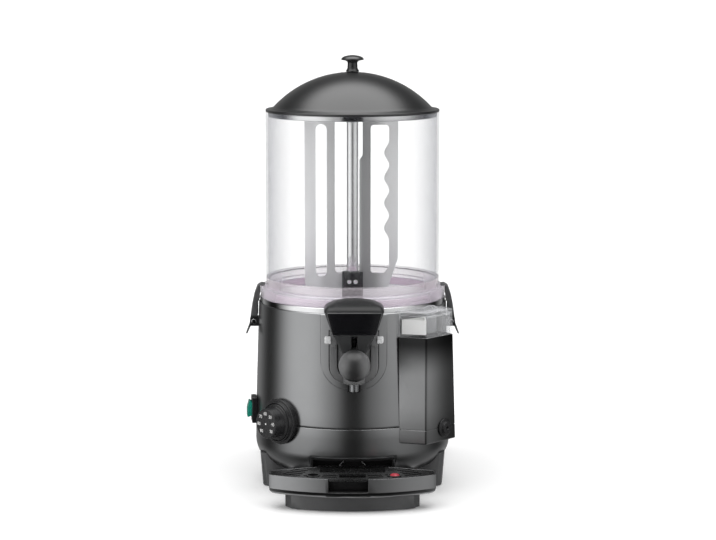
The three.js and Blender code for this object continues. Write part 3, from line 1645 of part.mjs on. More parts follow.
function addSwitch() {
  const bodyHalf = switchHalfWidth - switchWall;
  const bodyHalfHeight = switchHalfHeight - switchWall;
  const flangeBack = bellyRadius - switchBodyDepth / 2;
  const flangeBox = boxAbout(switchHalfWidth, switchHalfHeight, flangeBack, switchReach);
  const flange = cut(placed(flangeBox, switchFrame), shellEnvelope(gap));
  const bodyBack = switchReach - switchBodyDepth;
  const body = placed(boxAbout(bodyHalf, bodyHalfHeight, bodyBack, switchReach - switchWall), switchFrame);
  const pocketHalf = rockerHalfHeight + rockerSlack;
  const pocket = placed(
    boxAbout(rockerHalfWidth + gap, pocketHalf, rockerPocketReach, switchReach + overrun), switchFrame,
  );
  add('switch_housing', cut(join(flange, body), pocket), deepBlack);
  // The rocker's face is two flats that meet over its pivot. At rest the lower half stands out.
  const rise = rockerRise - rockerPivotReach;
  const depth = rockerPivotReach - rockerPocketReach - gap;
  const lean = Math.tan(THREE.MathUtils.degToRad(rockerThrowDegrees));
  const half = rockerHalfHeight;
  const section = outline([
    [-depth, 0],
    [-depth / 2, -half / 2],
    [rise - 2 * half * lean, -half],
    [rise - half * lean, 0],
    [rise - 2 * half * lean, half],
    [-depth / 2, half / 2],
  ]);
  const frame = new THREE.Matrix4().makeBasis(up, back, right.clone().negate());
  const across = extrusion(section, 2 * rockerHalfWidth).translate(0, 0, -rockerHalfWidth);
  const drawn = solid(across.applyMatrix4(frame));
  const tilt = new THREE.Matrix4().makeRotationX(-THREE.MathUtils.degToRad(rockerThrowDegrees));
  const place = new THREE.Matrix4().makeTranslation(0, 0, rockerPivotReach);
  add('switch_rocker', placed(placed(placed(drawn, tilt), place), switchFrame), greenLamp);
}

// Plan of the water box at a height: a front face, a slanting right face, and sides that run in to the
// shell. The two right corners move out along their own faces further down, which leaves every face flat.
function boxPlan(z, inset) {
  const slide = (from, toward) => {
    const along = new THREE.Vector2(...toward).sub(new THREE.Vector2(...from)).normalize();
    return new THREE.Vector2(...toward).addScaledVector(along, boxDraftShare * (shellTop - z)).toArray();
  };
  const nose = [boxNoseX, boxNoseReach];
  const inner = [boxInnerX, boxInnerReach];
  const corners = [
    inner,
    [boxLeftX, boxLeftReach],
    nose,
    slide(nose, [boxRightX, boxRightReach]),
    slide(inner, [boxRearX, boxRearReach]),
  ];
  // Each side is moved in by the inset, and neighbouring sides are crossed again
  const moved = corners.map((point, i) => {
    const next = corners[(i + 1) % corners.length];
    const along = new THREE.Vector2(next[0] - point[0], next[1] - point[1]).normalize();
    const inward = new THREE.Vector2(along.y, -along.x);
    return { start: new THREE.Vector2(...point).addScaledVector(inward, inset), along };
  });
  return moved.map((line, i) => {
    const before = moved[(i + moved.length - 1) % moved.length];
    const share = line.start.clone().sub(before.start).cross(line.along) / before.along.cross(line.along);
    const point = before.start.clone().addScaledVector(before.along, share);
    return [point.x, -point.y];
  });
}

function boxSolid(inset, bottom, top) {
  return stacked([[boxPlan(bottom, inset), bottom], [boxPlan(top, inset), top]]);
}

// Frame on the box's right face, with +Z pointing out of it
function drainFrame() {
  const x = boxNoseX + drainShare * (boxRightX - boxNoseX);
  const reach = boxNoseReach + drainShare * (boxRightReach - boxNoseReach);
  const outward = new THREE.Vector3(boxNoseReach - boxRightReach, -(boxRightX - boxNoseX), 0).normalize();
  const across = new THREE.Vector3().crossVectors(up, outward);
  return new THREE.Matrix4().makeBasis(across, up, outward).setPosition(x, -reach, drainZ);
}

function addWaterBox() {
  const pipeEnd = waterPipeReach + 2 * overrun;
  const pipeHole = placed(disc(waterPipeRadius + gap, boxInnerReach, pipeEnd, tinyRound), waterPipeFrame);
  const drainHole = placed(disc(drainStemRadius + gap, -drainStemLength, overrun, smallRound), drainFrame());
  const room = cut(boxSolid(boxWall, boxBottom + boxWall, boxRim + overrun), shellEnvelope(gap + boxWall));
  const grooveTop = boxGrooveZ + boxGroove;
  const groove = cut(boxSolid(-overrun, boxGrooveZ, grooveTop), boxSolid(boxGroove, boxGrooveZ, grooveTop));
  const body = boxSolid(0, boxBottom, boxRim);
  add('water_box', cut(body, shellEnvelope(gap), room, groove, pipeHole, drainHole), satinBlack);
  const inside = cut(boxSolid(boxWall, boxRim, windowRim + overrun), shellEnvelope(gap + boxWall));
  const pane = boxSolid(0, boxRim + gap, windowRim);
  add('water_box_window', cut(pane, shellEnvelope(gap), inside), clearPlastic);
  addBoxLid();
  addFiller();
  addDrainPlug();
}

function addBoxLid() {
  const lidBottom = windowRim + gap;
  const ceiling = boxLidTop - boxLidWall;
  const plate = cut(boxSolid(0, lidBottom, boxLidTop), boxSolid(boxLidWall, lidBottom - overrun, ceiling));
  const lipOuter = cut(
    boxSolid(boxWall + gap, lidBottom - boxLidLip, ceiling + boxLidWall / 2),
    shellEnvelope(2 * gap + boxWall),
  );
  const lipInner = cut(
    boxSolid(2 * boxWall, lidBottom - 2 * boxLidLip, ceiling), shellEnvelope(2 * gap + 2 * boxWall),
  );
  const cap = turned([
    [0, boxLidTop - boxLidWall / 2],
    [boxCapRadius, boxLidTop - boxLidWall / 2],
    [boxCapRadius, boxLidTop + boxCapRise / 3],
    [(2 * boxCapRadius) / 3, boxLidTop + (5 * boxCapRise) / 6],
    [0, boxLidTop + boxCapRise],
  ], smallRound).translate([boxCapX, -boxCapReach, 0]);
  const lid = cut(join(plate, cut(lipOuter, lipInner), cap), shellEnvelope(4 * gap), collarRoom());
  add('water_box_lid', lid, clearPlastic);
}

function addDrainPlug() {
  const plug = turned([
    [0, -drainStemLength],
    [drainStemRadius, -drainStemLength],
    [drainStemRadius, gap],
    [drainRadius, gap],
    [drainRadius, drainThickness],
    [drainKnobRadius, drainThickness],
    [drainKnobRadius - gap, drainThickness + drainKnobThickness],
    [drainSlotRadius, drainThickness + drainKnobThickness],
    [drainSlotRadius, drainThickness],
    [0, drainThickness],
  ], midRound);
  add('drain_plug', placed(plug, drainFrame()), deepBlack);
}

// Filler insert: a tray with two holes that sits inside the window
function addFiller() {
  const inset = boxWall + gap;
  const outer = cut(boxSolid(inset, fillerBottom, fillerTop), shellEnvelope(inset + gap))
    .intersect(block(0, boxNoseX - gap, 0, frontReach, 0, fillerTop - boxLidLip));
  const inner = cut(
    boxSolid(inset + fillerWall, fillerBottom + fillerWall, fillerTop + overrun),
    shellEnvelope(inset + gap + fillerWall),
  ).intersect(block(0, boxNoseX - gap - fillerWall, 0, frontReach, 0, shellTop));
  const middleX = (boxLeftX + boxNoseX) / 2 + 2 * fillerHole;
  const middleReach = (boxLeftReach + boxNoseReach) / 2 - 3 * fillerHole;
  const hole = disc(fillerHole, fillerBottom - overrun, fillerBottom + overrun, tinyRound);
  const holes = [-1, 1].map((side) => (
    hole.translate([middleX + side * (fillerHole + fillerWall), -middleReach, 0])
  ));
  add('filler_insert', cut(outer, inner, ...holes), whitePlastic);
}

// Space round the pan's collar, the bowl's foot and the latch, which the box's lid keeps clear of
function collarRoom() {
  return disc(collarRadius + 3 * gap, shellTop - overrun, footRingTop, bigRound);
}

// Plan of the tray: a front edge round the upright axis with its corners cut off, short sides, and a back
// that runs in to a tongue
function trayPoints(inset) {
  const reach = frontReach - inset;
  const half = trayHalfWidth - inset;
  const turn = Math.asin((half - trayCornerCut) / reach);
  const sideReach = reach * Math.cos(turn) - trayCornerCut;
  const points = [[-half, -sideReach]];
  for (let step = 0; step <= trayArcSteps; step += 1) {
    const angle = -turn + (2 * turn * step) / trayArcSteps;
    points.push([reach * Math.sin(angle), -reach * Math.cos(angle)]);
  }
  points.push(
    [half, -sideReach],
    [half, -trayRearReach],
    [trayShoulderX, -trayShoulderReach - inset],
    [trayTongueHalfWidth - inset, -trayTongueRootReach - inset],
    [trayTongueHalfWidth - inset, -trayTongueReach - inset],
    [-trayTongueHalfWidth + inset, -trayTongueReach - inset],
    [-trayTongueHalfWidth + inset, -trayTongueRootReach - inset],
    [-trayShoulderX, -trayShoulderReach - inset],
    [-half, -trayRearReach],
  );
  return points;
}

function trayOutline(inset) {
  return outline(trayPoints(inset));
}

function addTray() {
  const floor = trayBottom + trayWall;
  const ledgeZ = trayTop - gridSeatDepth;
  // The lower edge is rounded, in a few slanting bands
  const rings = [];
  for (let step = 0; step <= trayFootSteps; step += 1) {
    const angle = (Math.PI / 2) * (step / trayFootSteps);
    const inset = trayFootRadius * (1 - Math.sin(angle));
    rings.push([trayPoints(inset), trayBottom + trayFootRadius * (1 - Math.cos(angle))]);
  }
  rings.push([trayPoints(0), trayTop]);
  const outer = stacked(rings);
  const stepZ = trayBottom + trayRoomStep + trayWall;
  const lowerRoom = raised(trayOutline(trayRoomInset + trayWall), floor, stepZ + overrun);
  const upperRoom = raised(trayOutline(trayWall + gridLedge), stepZ, ledgeZ + overrun / 4);
  const seat = raised(trayOutline(trayWall), ledgeZ, trayTop + overrun);
  const recessLeft = recessCentreX - recessHalfWidth;
  const recessRight = recessCentreX + recessHalfWidth;
  const wallBack = frontReach - recessDepth - trayWall;
  const wellLedge = ledgeZ - wellDrop;
  const hood = block(
    recessLeft - trayWall, recessRight + trayWall, wallBack, frontReach - trayWall, floor, ledgeZ - gap,
  ).intersect(raised(trayOutline(trayWall / 2), trayBottom, trayTop));
  const recess = block(
    recessLeft, recessRight, frontReach - recessDepth, frontReach + overrun,
    recessBottom, trayTop + overrun,
  );
  // The tongue at the back is lower, to take the sunk middle of the grid
  const lowTongue = block(
    -trayShoulderX, trayShoulderX, 0, trayTongueRootReach - gap, trayTop - wellDrop, trayTop + overrun,
  );
  const lowSeat = raised(trayOutline(trayWall), wellLedge, trayTop + overrun)
    .intersect(block(-frontReach, frontReach, 0, trayTongueRootReach + trayWall, 0, trayTop + overrun));
  const body = cut(outer, lowerRoom, upperRoom, seat, lowTongue, lowSeat);
  add('drip_tray', cut(join(body, hood), recess), satinBlack);
}

// Slots of the grid, in rows of rings about the upright axis
function slotRow(inner, startDegrees, endDegrees, bottom, top) {
  return [-1, 1].map((side) => {
    const ends = [side * startDegrees, side * endDegrees];
    return raised(arcSlot(inner, inner + gridSlotWidth, Math.min(...ends), Math.max(...ends)), bottom, top);
  });
}

function addGrid() {
  const bottom = trayTop - gridSeatDepth + gap;
  const top = bottom + gridThickness;
  const edge = trayWall + gridSlack / 2;
  const middle = (half, reach, low, high) => block(-half, half, 0, reach, low, high);
  const flat = cut(
    raised(trayOutline(edge), bottom, top),
    middle(wellHalfWidth - wellWall, wellReach - wellWall, 0, frontReach),
    block(-trayShoulderX, trayShoulderX, 0, trayTongueRootReach + gap, 0, frontReach),
  );
  const sunk = raised(trayOutline(edge), bottom - wellDrop, top - wellDrop)
    .intersect(middle(wellHalfWidth, wellReach, 0, frontReach));
  const tongueWings = raised(trayOutline(edge), bottom - wellDrop, top - wellDrop)
    .intersect(block(-trayShoulderX, trayShoulderX, 0, trayTongueRootReach - gap, 0, frontReach));
  const riser = cut(
    block(-wellHalfWidth, wellHalfWidth, trayTongueRootReach + gap, wellReach, bottom - wellDrop, top),
    middle(wellHalfWidth - wellWall, wellReach - wellWall, 0, frontReach),
  );
  const slots = [];
  for (let row = 0; row < gridRows; row += 1) {
    const inner = gridFirstRadius + row * gridPitch;
    gridSlotStartDegrees.forEach((start, i) => {
      const end = (gridSlotStartDegrees[i + 1] ?? gridSlotEndDegrees + gridBarDegrees) - gridBarDegrees;
      const beyondWell = inner * Math.sin(THREE.MathUtils.degToRad(start)) > wellHalfWidth;
      if (beyondWell || inner > wellReach + gridSlotWidth) {
        slots.push(...slotRow(inner, start, end, bottom - overrun, frontReach));
      }
    });
  }
  const pad = disc(wellPadRadius, 0, frontReach, midRound).translate([0, -tapReach, 0]);
  for (let row = 0; row < wellSlotRows; row += 1) {
    const inner = wellFirstRadius + row * gridPitch;
    const rowSlots = slotRow(inner, gridBarDegrees, wellSlotEndDegrees - row, 0, top);
    slots.push(...rowSlots.map((slot) => cut(slot, pad)));
  }
  const placesOfHoles = [[floatX, -floatReach, 0], [spareHoleX, -spareHoleReach, 0]];
  const round = (radius, low, high) => (
    placesOfHoles.map((place) => disc(radius, low, high, smallRound).translate(place))
  );
  const guards = round(floatRingRadius, 0, frontReach);
  const lift = block(-liftHalfWidth, liftHalfWidth, liftReach, liftReach + liftDepth, 0, frontReach);
  const keptClear = slots.map((slot) => cut(slot, ...guards));
  const slotted = cut(join(flat, riser, sunk, tongueWings), ...keptClear, lift);
  const grid = cut(
    join(slotted, ...round(floatRingRadius, bottom, top + gap + floatRingRise)),
    ...round(floatHoleRadius, 0, frontReach),
  );
  add('drip_grid', grid, satinBlack);
  add('float_indicator', turned([
    [0, floatBottom],
    [floatFlangeRadius, floatBottom],
    [floatFlangeRadius, floatBottom + floatFlangeHeight],
    [floatRadius, floatBottom + floatFlangeHeight],
    [floatRadius, floatTop - gap],
    [floatRadius / 2, floatTop],
    [0, floatTop],
  ], smallRound).translate(placesOfHoles[0]), redPlastic);
}

addFeet();
addBase();
addStand();
addGland();
addRearCover();
addLowerShell();
addTrayDock();
addBodyShell();
addTank();
addHeater();
addPan();
addBowl();
addDrive();
addStirrer();
addLeftBlade();
addRightBlade();
addLid();
addLatch(-1, 'left');
addLatch(1, 'right');
addTapPanel();
addTapHousing();
addTapNozzle();
addPiston();
addSpring();
addLever();
addPivotPin();
addNose();
addDial();
addSwitch();
addWaterBox();
addTray();
addGrid();

export default machine;
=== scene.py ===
"""Looks of a hot chocolate dispenser: a clear bowl with a stirrer on a heated round body with a lever tap."""
import math

import bmesh
import bpy
import numpy as np
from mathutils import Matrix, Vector
from mathutils.geometry import tessellate_polygon


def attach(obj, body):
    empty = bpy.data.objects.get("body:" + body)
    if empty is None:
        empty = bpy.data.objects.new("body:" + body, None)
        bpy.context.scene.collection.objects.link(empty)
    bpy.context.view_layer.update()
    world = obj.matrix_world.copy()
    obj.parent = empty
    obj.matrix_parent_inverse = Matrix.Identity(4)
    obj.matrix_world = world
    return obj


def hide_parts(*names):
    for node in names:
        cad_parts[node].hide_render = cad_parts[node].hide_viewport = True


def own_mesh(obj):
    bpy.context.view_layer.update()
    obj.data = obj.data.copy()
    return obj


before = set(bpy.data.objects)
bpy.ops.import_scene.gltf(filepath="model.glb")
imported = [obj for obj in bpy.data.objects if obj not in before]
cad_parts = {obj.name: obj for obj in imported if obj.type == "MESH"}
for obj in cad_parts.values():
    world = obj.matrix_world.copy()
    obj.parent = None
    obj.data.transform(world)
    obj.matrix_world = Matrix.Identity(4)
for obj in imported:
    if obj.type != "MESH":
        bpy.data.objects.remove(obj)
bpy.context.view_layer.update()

# Lengths are millimetres until a piece's mesh is made, and pieces are drawn round an axis at (0, 0)
MM = 0.001
BOWL_AXIS = np.array([0.0, 8.0, 0.0])
SEAM, SEAM_RADIUS = 94.0, 132.3
SHELL_TOP, SHELL_TOP_RADIUS = 247.0, 127.5
# The tap stands a little to the right of the front
TAP_DEGREES = 0.8
TAP_TURN = math.radians(TAP_DEGREES)
TAP_AXIS, TAP_PIVOT, TAP_PORT = (0, -152, 0), (0, -138, 215), (0, 0, 182)
# Points nearer than this are one, on a line, in a new mesh and in a CAD node's mesh
SAME, MERGED, CAD_MERGED = 1e-5, 0.02, 0.002
# Edges of a new mesh shorter than this go
SLIVER = 0.01
# Sides of a turned piece, unless it gives its own number
ROUND, FINE_ROUND = 160, 200


# Shapes. A profile or outline is a list of points (a, b, corner radius), and a surface is points and faces
def grid(points, around=True, closed=False):
    """Quads between neighbouring points of a (rows, columns, 3) array. Around joins the last column to the
    first, closed joins the last row to the first."""
    rows, columns = points.shape[:2]
    index = np.arange(rows * columns).reshape(rows, columns)
    if around:
        index = np.hstack([index, index[:, :1]])
    if closed:
        index = np.vstack([index, index[:1]])
    corners = [index[:-1, :-1], index[:-1, 1:], index[1:, 1:], index[1:, :-1]]
    return points.reshape(-1, 3), np.stack(corners, -1).reshape(-1, 4).tolist()


def rounded(points, closed=False, steps=5):
    """The line through points (a, b, radius), each corner replaced by an arc of its radius that touches both
    sides. A corner without a radius stays sharp, but keeps the same number of points."""
    tiny, nearly_straight, most_of_side = 1e-6, 1e-3, 0.49
    full = [tuple(p) + (0.0,) * (3 - len(p)) for p in points]
    t = np.linspace(0, 1, steps + 1)[:, None]
    out = []
    for i, (a, b, radius) in enumerate(full):
        here = np.array([a, b])
        if not closed and i in (0, len(full) - 1):
            out.append(here[None])
            continue
        before = np.array(full[i - 1][:2]) - here
        after = np.array(full[(i + 1) % len(full)][:2]) - here
        lengths = np.linalg.norm(before), np.linalg.norm(after)
        before, after = before / lengths[0], after / lengths[1]
        half = math.acos(np.clip(before @ after, -1, 1)) / 2
        reach = min(radius / max(math.tan(half), tiny), most_of_side * min(lengths))
        radius = reach * math.tan(half)
        if radius < tiny or half > math.pi / 2 - nearly_straight:
            out.append(here + 0 * t)
            continue
        middle = (before + after) / np.linalg.norm(before + after)
        centre = here + middle * radius / math.sin(half)
        start, end = here + before * reach - centre, here + after * reach - centre
        sweep = math.pi - 2 * half
        out.append(centre + (np.sin((1 - t) * sweep) * start + np.sin(t * sweep) * end) / math.sin(sweep))
    return np.vstack(out)


def loop_of(points):
    """A closed line with rounded corners."""
    return rounded(points, closed=True)


def rectangle(left, right, low, high, corner=0.0):
    """A closed rectangle with four equal corners."""
    return loop_of([(left, low, corner), (right, low, corner), (right, high, corner), (left, high, corner)])


def unique(line):
    """A line without the points that repeat the one before them."""
    return line[np.linalg.norm(np.diff(line, axis=0, prepend=line[:1] + 1), axis=1) > SAME]


def on_circle(radius, angle, height):
    """Points (r sin a, -r cos a, z) for angles a from the front."""
    return np.stack(np.broadcast_arrays(radius * np.sin(angle), -radius * np.cos(angle), height), -1)


def revolve(profile, closed=True, sides=ROUND):
    """Each profile point (r, z) goes round a circle about the axis."""
    angle = np.linspace(0, 2 * math.pi, sides, endpoint=False)
    r, z = unique(np.asarray(profile, float)).T
    return grid(on_circle(r[:, None], angle, z[:, None]), closed=closed)


def turned(profile, sides=ROUND):
    """A rounded profile turned about the axis: a solid where it starts on the axis, and otherwise a ring."""
    ring = profile[0][0] > 0
    return revolve(rounded(profile, closed=ring), closed=ring, sides=sides)


def area(loop):
    """Signed area of a flat loop, positive where it runs against the clock."""
    x, y = loop.T
    return 0.5 * np.sum(x * np.roll(y, -1) - y * np.roll(x, -1))


def inset(loop, distance):
    """The loop moved to its left by distance, each corner along the line that halves it. A very sharp corner
    moves less than its sides ask for."""
    ahead = np.roll(loop, -1, axis=0) - loop
    ahead /= np.linalg.norm(ahead, axis=1, keepdims=True)
    left_after = np.stack([-ahead[:, 1], ahead[:, 0]], 1)
    left_before = np.roll(left_after, 1, axis=0)
    sharpest = 0.35
    share = np.clip(1 + (left_after * left_before).sum(1, keepdims=True), sharpest, None)
    return loop + distance * (left_after + left_before) / share


def cap(loops, offsets, flip):
    """Triangles that fill the flat region between the first loop and the others."""
    triangles = tessellate_polygon([[Vector((*p, 0)) for p in loop] for loop in loops])
    index = np.concatenate([np.arange(len(loop)) + start for loop, start in zip(loops, offsets)])
    out = [[int(index[i]) for i in t] for t in triangles]
    return [t[::-1] for t in out] if flip else out


def slab(outline, low, high, edge, holes=(), steps=3):
    """A flat outline (x, y) carried up from low to high. Its rims, and those of its holes, are rounded by
    quarter circles of the edge's size."""
    loops = []
    for k, loop in enumerate([outline, *holes]):
        loop = unique(np.asarray(loop, float)[:, :2])
        if np.linalg.norm(loop[0] - loop[-1]) < SAME:
            loop = loop[:-1]
        loops.append(loop if (area(loop) > 0) == (k == 0) else loop[::-1])
    turn = np.linspace(0, math.pi / 2, steps + 1)
    moved_in, rise = edge * (1 - np.sin(turn)), edge * (1 - np.cos(turn))
    rows = [*zip(moved_in, low + rise), *zip(moved_in[::-1], high - rise[::-1])]
    rings = [np.stack([np.column_stack([inset(loop, d), np.full(len(loop), h)]) for d, h in rows])
             for loop in loops]
    points, faces = joined([grid(ring) for ring in rings])
    counts = np.array([len(loop) for loop in loops])
    ends = np.cumsum(counts * len(rows))
    inner = [inset(loop, edge) for loop in loops]
    return points, faces + cap(inner, ends - counts * len(rows), True) + cap(inner, ends - counts, False)


def loft(rings, closed=False):
    """Rings (m, n, 3) joined in order. An open stack is filled at both ends."""
    points, faces = grid(rings, closed=closed)
    if not closed:
        for row, flip in ((0, True), (len(rings) - 1, False)):
            faces += cap([rings[row][:, :2]], [row * rings.shape[1]], flip)
    return points, faces


def tube(path, radius):
    """A circle carried along a path (n, 3), square to it, with its first point square to a fixed line."""
    ahead = np.gradient(path, axis=0)
    ahead /= np.linalg.norm(ahead, axis=1, keepdims=True)
    fixed, sides = [0.12, 0.2, 1.0], 10
    side = np.cross(ahead, fixed)
    side /= np.linalg.norm(side, axis=1, keepdims=True)
    over = np.cross(ahead, side)
    a = np.linspace(0, 2 * math.pi, sides, endpoint=False)[None, :, None]
    points, faces = grid(path[:, None] + radius * (np.cos(a) * side[:, None] + np.sin(a) * over[:, None]))
    last = len(points) - sides
    return points, faces + [list(range(sides))[::-1], list(range(last, last + sides))]


def moved(surface, axes=None, by=(0, 0, 0)):
    """A surface in another frame: the columns of axes are its x, y and z directions."""
    points, faces = surface
    if axes is not None:
        points = points @ np.asarray(axes, float).T
    return points + np.asarray(by, float), faces


def tilted(angle):
    """Directions after a turn about x, as columns."""
    c, s = math.cos(angle), math.sin(angle)
    return np.array([[1, 0, 0], [0, c, -s], [0, s, c]])


def outward(degrees):
    """Directions across, up and outward at an angle from the front towards the left, as columns."""
    a = math.radians(degrees)
    out = np.array([-math.sin(a), -math.cos(a), 0.0])
    return np.column_stack([np.cross([0, 0, 1], out), [0, 0, 1], out])


FORWARD = np.column_stack([[1, 0, 0], [0, 0, 1], [0, -1, 0]])
ACROSS = np.column_stack([[0, -1, 0], [0, 0, 1], [1, 0, 0]])


def carried_forward(outline, near, far, **more):
    """A front view outline (x, z) carried forward between two reaches from the axis."""
    return moved(slab(outline, near, far, **more), FORWARD)


def carried_across(outline, low, high, **more):
    """A side view outline (reach, z) carried across from x = low to x = high."""
    return moved(slab(outline, low, high, **more), ACROSS)


def joined(surfaces):
    """Several surfaces as one."""
    points, faces, count = [], [], 0
    for places, cells in surfaces:
        faces += [[i + count for i in c] for c in cells]
        points.append(places)
        count += len(places)
    return np.vstack(points), faces


def placed(name, data):
    """A new object in the scene."""
    obj = bpy.data.objects.new(name, data)
    bpy.context.scene.collection.objects.link(obj)
    return obj


def mesh_of(name, surface, scale=MM):
    """A mesh with merged doubles and outward faces."""
    points, faces = surface
    mesh = bpy.data.meshes.new(name)
    mesh.from_pydata((np.asarray(points) * scale).tolist(), [], faces)
    work = bmesh.new()
    work.from_mesh(mesh)
    bmesh.ops.remove_doubles(work, verts=work.verts, dist=MERGED * scale)
    bmesh.ops.dissolve_degenerate(work, edges=work.edges, dist=SLIVER * scale)
    bmesh.ops.recalc_face_normals(work, faces=work.faces)
    work.to_mesh(mesh)
    work.free()
    return mesh


def surface_of(obj):
    """An object's final mesh as a surface. The object is removed."""
    mesh = obj.evaluated_get(bpy.context.evaluated_depsgraph_get()).to_mesh()
    points = np.empty(len(mesh.vertices) * 3)
    mesh.vertices.foreach_get("co", points)
    faces = [list(p.vertices) for p in mesh.polygons]
    bpy.data.objects.remove(obj)
    return points.reshape(-1, 3), faces


def carved(first, *cutters):
    """The first closed surface with the others cut out of it."""
    block, *tools = [placed("carving", mesh_of("carving", surface, 1.0)) for surface in (first, *cutters)]
    for tool in tools:
        step = block.modifiers.new("cut", "BOOLEAN")
        step.operation, step.solver, step.object = "DIFFERENCE", "EXACT", tool
    result = surface_of(block)
    for tool in tools:
        bpy.data.objects.remove(tool)
    return result


# Pieces
def piece(name, body, slot, look, surfaces, node="", crease=32, turn=0.0, wall=0.0):
    """One object of a few surfaces, at rest on its body. It stands for the CAD node named. Turn is its angle
    about the axis, and wall gives an open surface its thickness inwards."""
    points, faces = joined(surfaces)
    c, s = math.cos(turn), math.sin(turn)
    points = points @ np.array([[c, -s, 0], [s, c, 0], [0, 0, 1]]).T
    mesh = mesh_of(name, (points + BOWL_AXIS, faces))
    mesh.shade_smooth()
    mesh.set_sharp_from_angle(angle=math.radians(crease))
    mesh.materials.append(look)
    obj = placed(name, mesh)
    if wall:
        step = obj.modifiers.new("wall", "SOLIDIFY")
        step.thickness, step.offset, step.use_even_offset = wall * MM, -1, True
    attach(obj, body)
    if node:
        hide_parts(node)
    return obj


def tap_piece(*rest, **more):
    """A piece of the tap, turned with it."""
    return piece(*rest, turn=TAP_TURN, **more)


def softened(name, node, body, slot, look, bevel):
    """A CAD node's own form with its flat faces merged and its edges rounded."""
    flat, sharp = math.radians(0.6), math.radians(30)
    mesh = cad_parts[node].data.copy()
    mesh.name = name
    work = bmesh.new()
    work.from_mesh(mesh)
    bmesh.ops.remove_doubles(work, verts=work.verts, dist=CAD_MERGED * MM)
    bmesh.ops.dissolve_limit(work, angle_limit=flat, verts=work.verts, edges=work.edges)
    work.to_mesh(mesh)
    work.free()
    mesh.shade_smooth()
    mesh.set_sharp_from_angle(angle=sharp)
    mesh.materials.clear()
    mesh.materials.append(look)
    obj = placed(name, mesh)
    step = obj.modifiers.new("soft_edge", "BEVEL")
    step.width, step.segments, step.limit_method, step.angle_limit = bevel * MM, 2, "ANGLE", sharp
    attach(obj, body)
    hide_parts(node)


# Finishes
def smooth_change(tree, source, start, end, first, last):
    """A value that goes smoothly from first to last while its source goes from start to end."""
    node = tree.nodes.new("ShaderNodeMapRange")
    node.interpolation_type = "SMOOTHSTEP"
    for socket, value in zip(("From Min", "From Max", "To Min", "To Max"), (start, end, first, last)):
        node.inputs[socket].default_value = value
    tree.links.new(source, node.inputs["Value"])
    return node.outputs["Result"]


# Noise sizes of a finish: its large colour change and the fine grain of its roughness
PATCH, GRAIN = 14.0, 260.0
# Where a noise leaves its low end and reaches its high one
RAMP_ENDS = 0.3, 0.7
BUMP_DEPTH = 0.12 * MM
# The share of turning away at which clear plastic starts and ends to gain cover
FACING_ENDS = 0.1, 0.95


def finish(name, colour, rough, metal=0.0, shade=0.12, grain=0.08, stretch=(1, 1, 1), bump=0.0,
           bump_scale=1800.0, **sockets):
    """A finish with a large soft colour change, fine grain in its roughness, and a fine bump, all on the
    piece's own coordinates. Further sockets of the shader are set by name."""
    material = bpy.data.materials.new(name)
    material.use_nodes = True
    tree = material.node_tree
    shader = tree.nodes["Principled BSDF"]
    mapping = tree.nodes.new("ShaderNodeMapping")
    mapping.inputs["Scale"].default_value = stretch
    tree.links.new(tree.nodes.new("ShaderNodeTexCoord").outputs["Object"], mapping.inputs["Vector"])

    def noise(size, detail):
        node = tree.nodes.new("ShaderNodeTexNoise")
        node.inputs["Scale"].default_value = size
        node.inputs["Detail"].default_value = detail
        tree.links.new(mapping.outputs["Vector"], node.inputs["Vector"])
        return node.outputs["Fac"]

    def ramp(source, low, high, target):
        node = tree.nodes.new("ShaderNodeValToRGB")
        for stop, place, shown in zip(node.color_ramp.elements, RAMP_ENDS, (low, high)):
            stop.position, stop.color = place, (*shown, 1)
        tree.links.new(source, node.inputs["Fac"])
        tree.links.new(node.outputs["Color"], target)

    low = [max(c * (1 - shade), 0) for c in colour]
    high = [min(c * (1 + shade), 1) for c in colour]
    ramp(noise(PATCH, 3), low, high, shader.inputs["Base Color"])
    ramp(noise(GRAIN, 4), [max(rough - grain, 0.01)] * 3, [rough + grain] * 3, shader.inputs["Roughness"])
    shader.inputs["Metallic"].default_value = metal
    for socket, value in sockets.items():
        shader.inputs[socket.replace("_", " ")].default_value = value
    if bump:
        node = tree.nodes.new("ShaderNodeBump")
        node.inputs["Strength"].default_value = bump
        node.inputs["Distance"].default_value = BUMP_DEPTH
        tree.links.new(noise(bump_scale, 2), node.inputs["Height"])
        tree.links.new(node.outputs["Normal"], shader.inputs["Normal"])
    return material


def faded(material, *ways):
    """Multiplies a finish's colour by a soft change along the piece's own axes, which paints light and shade
    into it.
    A way is an axis, and two pairs of a place in millimetres and the share of the colour there."""
    tree = material.node_tree
    target = tree.nodes["Principled BSDF"].inputs["Base Color"]
    split = tree.nodes.new("ShaderNodeSeparateXYZ")
    tree.links.new(tree.nodes.new("ShaderNodeTexCoord").outputs["Object"], split.inputs[0])
    colour = target.links[0].from_socket
    for axis, (start, first), (end, last) in ways:
        product = tree.nodes.new("ShaderNodeVectorMath")
        product.operation = "SCALE"
        tree.links.new(colour, product.inputs[0])
        tree.links.new(smooth_change(tree, split.outputs[axis], start * MM, end * MM, first, last),
                       product.inputs["Scale"])
        colour = product.outputs[0]
    tree.links.new(colour, target)
    return material


def see_through(name, colour, rough, facing, grazing, **sockets):
    """Clear plastic: little cover where it is seen straight on, and far more where a wall turns away."""
    material = finish(name, colour, rough, shade=0.01, grain=rough / 2, **sockets)
    tree = material.node_tree
    weight = tree.nodes.new("ShaderNodeLayerWeight")
    weight.inputs["Blend"].default_value = 0.5
    cover = smooth_change(tree, weight.outputs["Facing"], *FACING_ENDS, facing, grazing)
    tree.links.new(cover, tree.nodes["Principled BSDF"].inputs["Alpha"])
    return material


X, Z = 0, 2
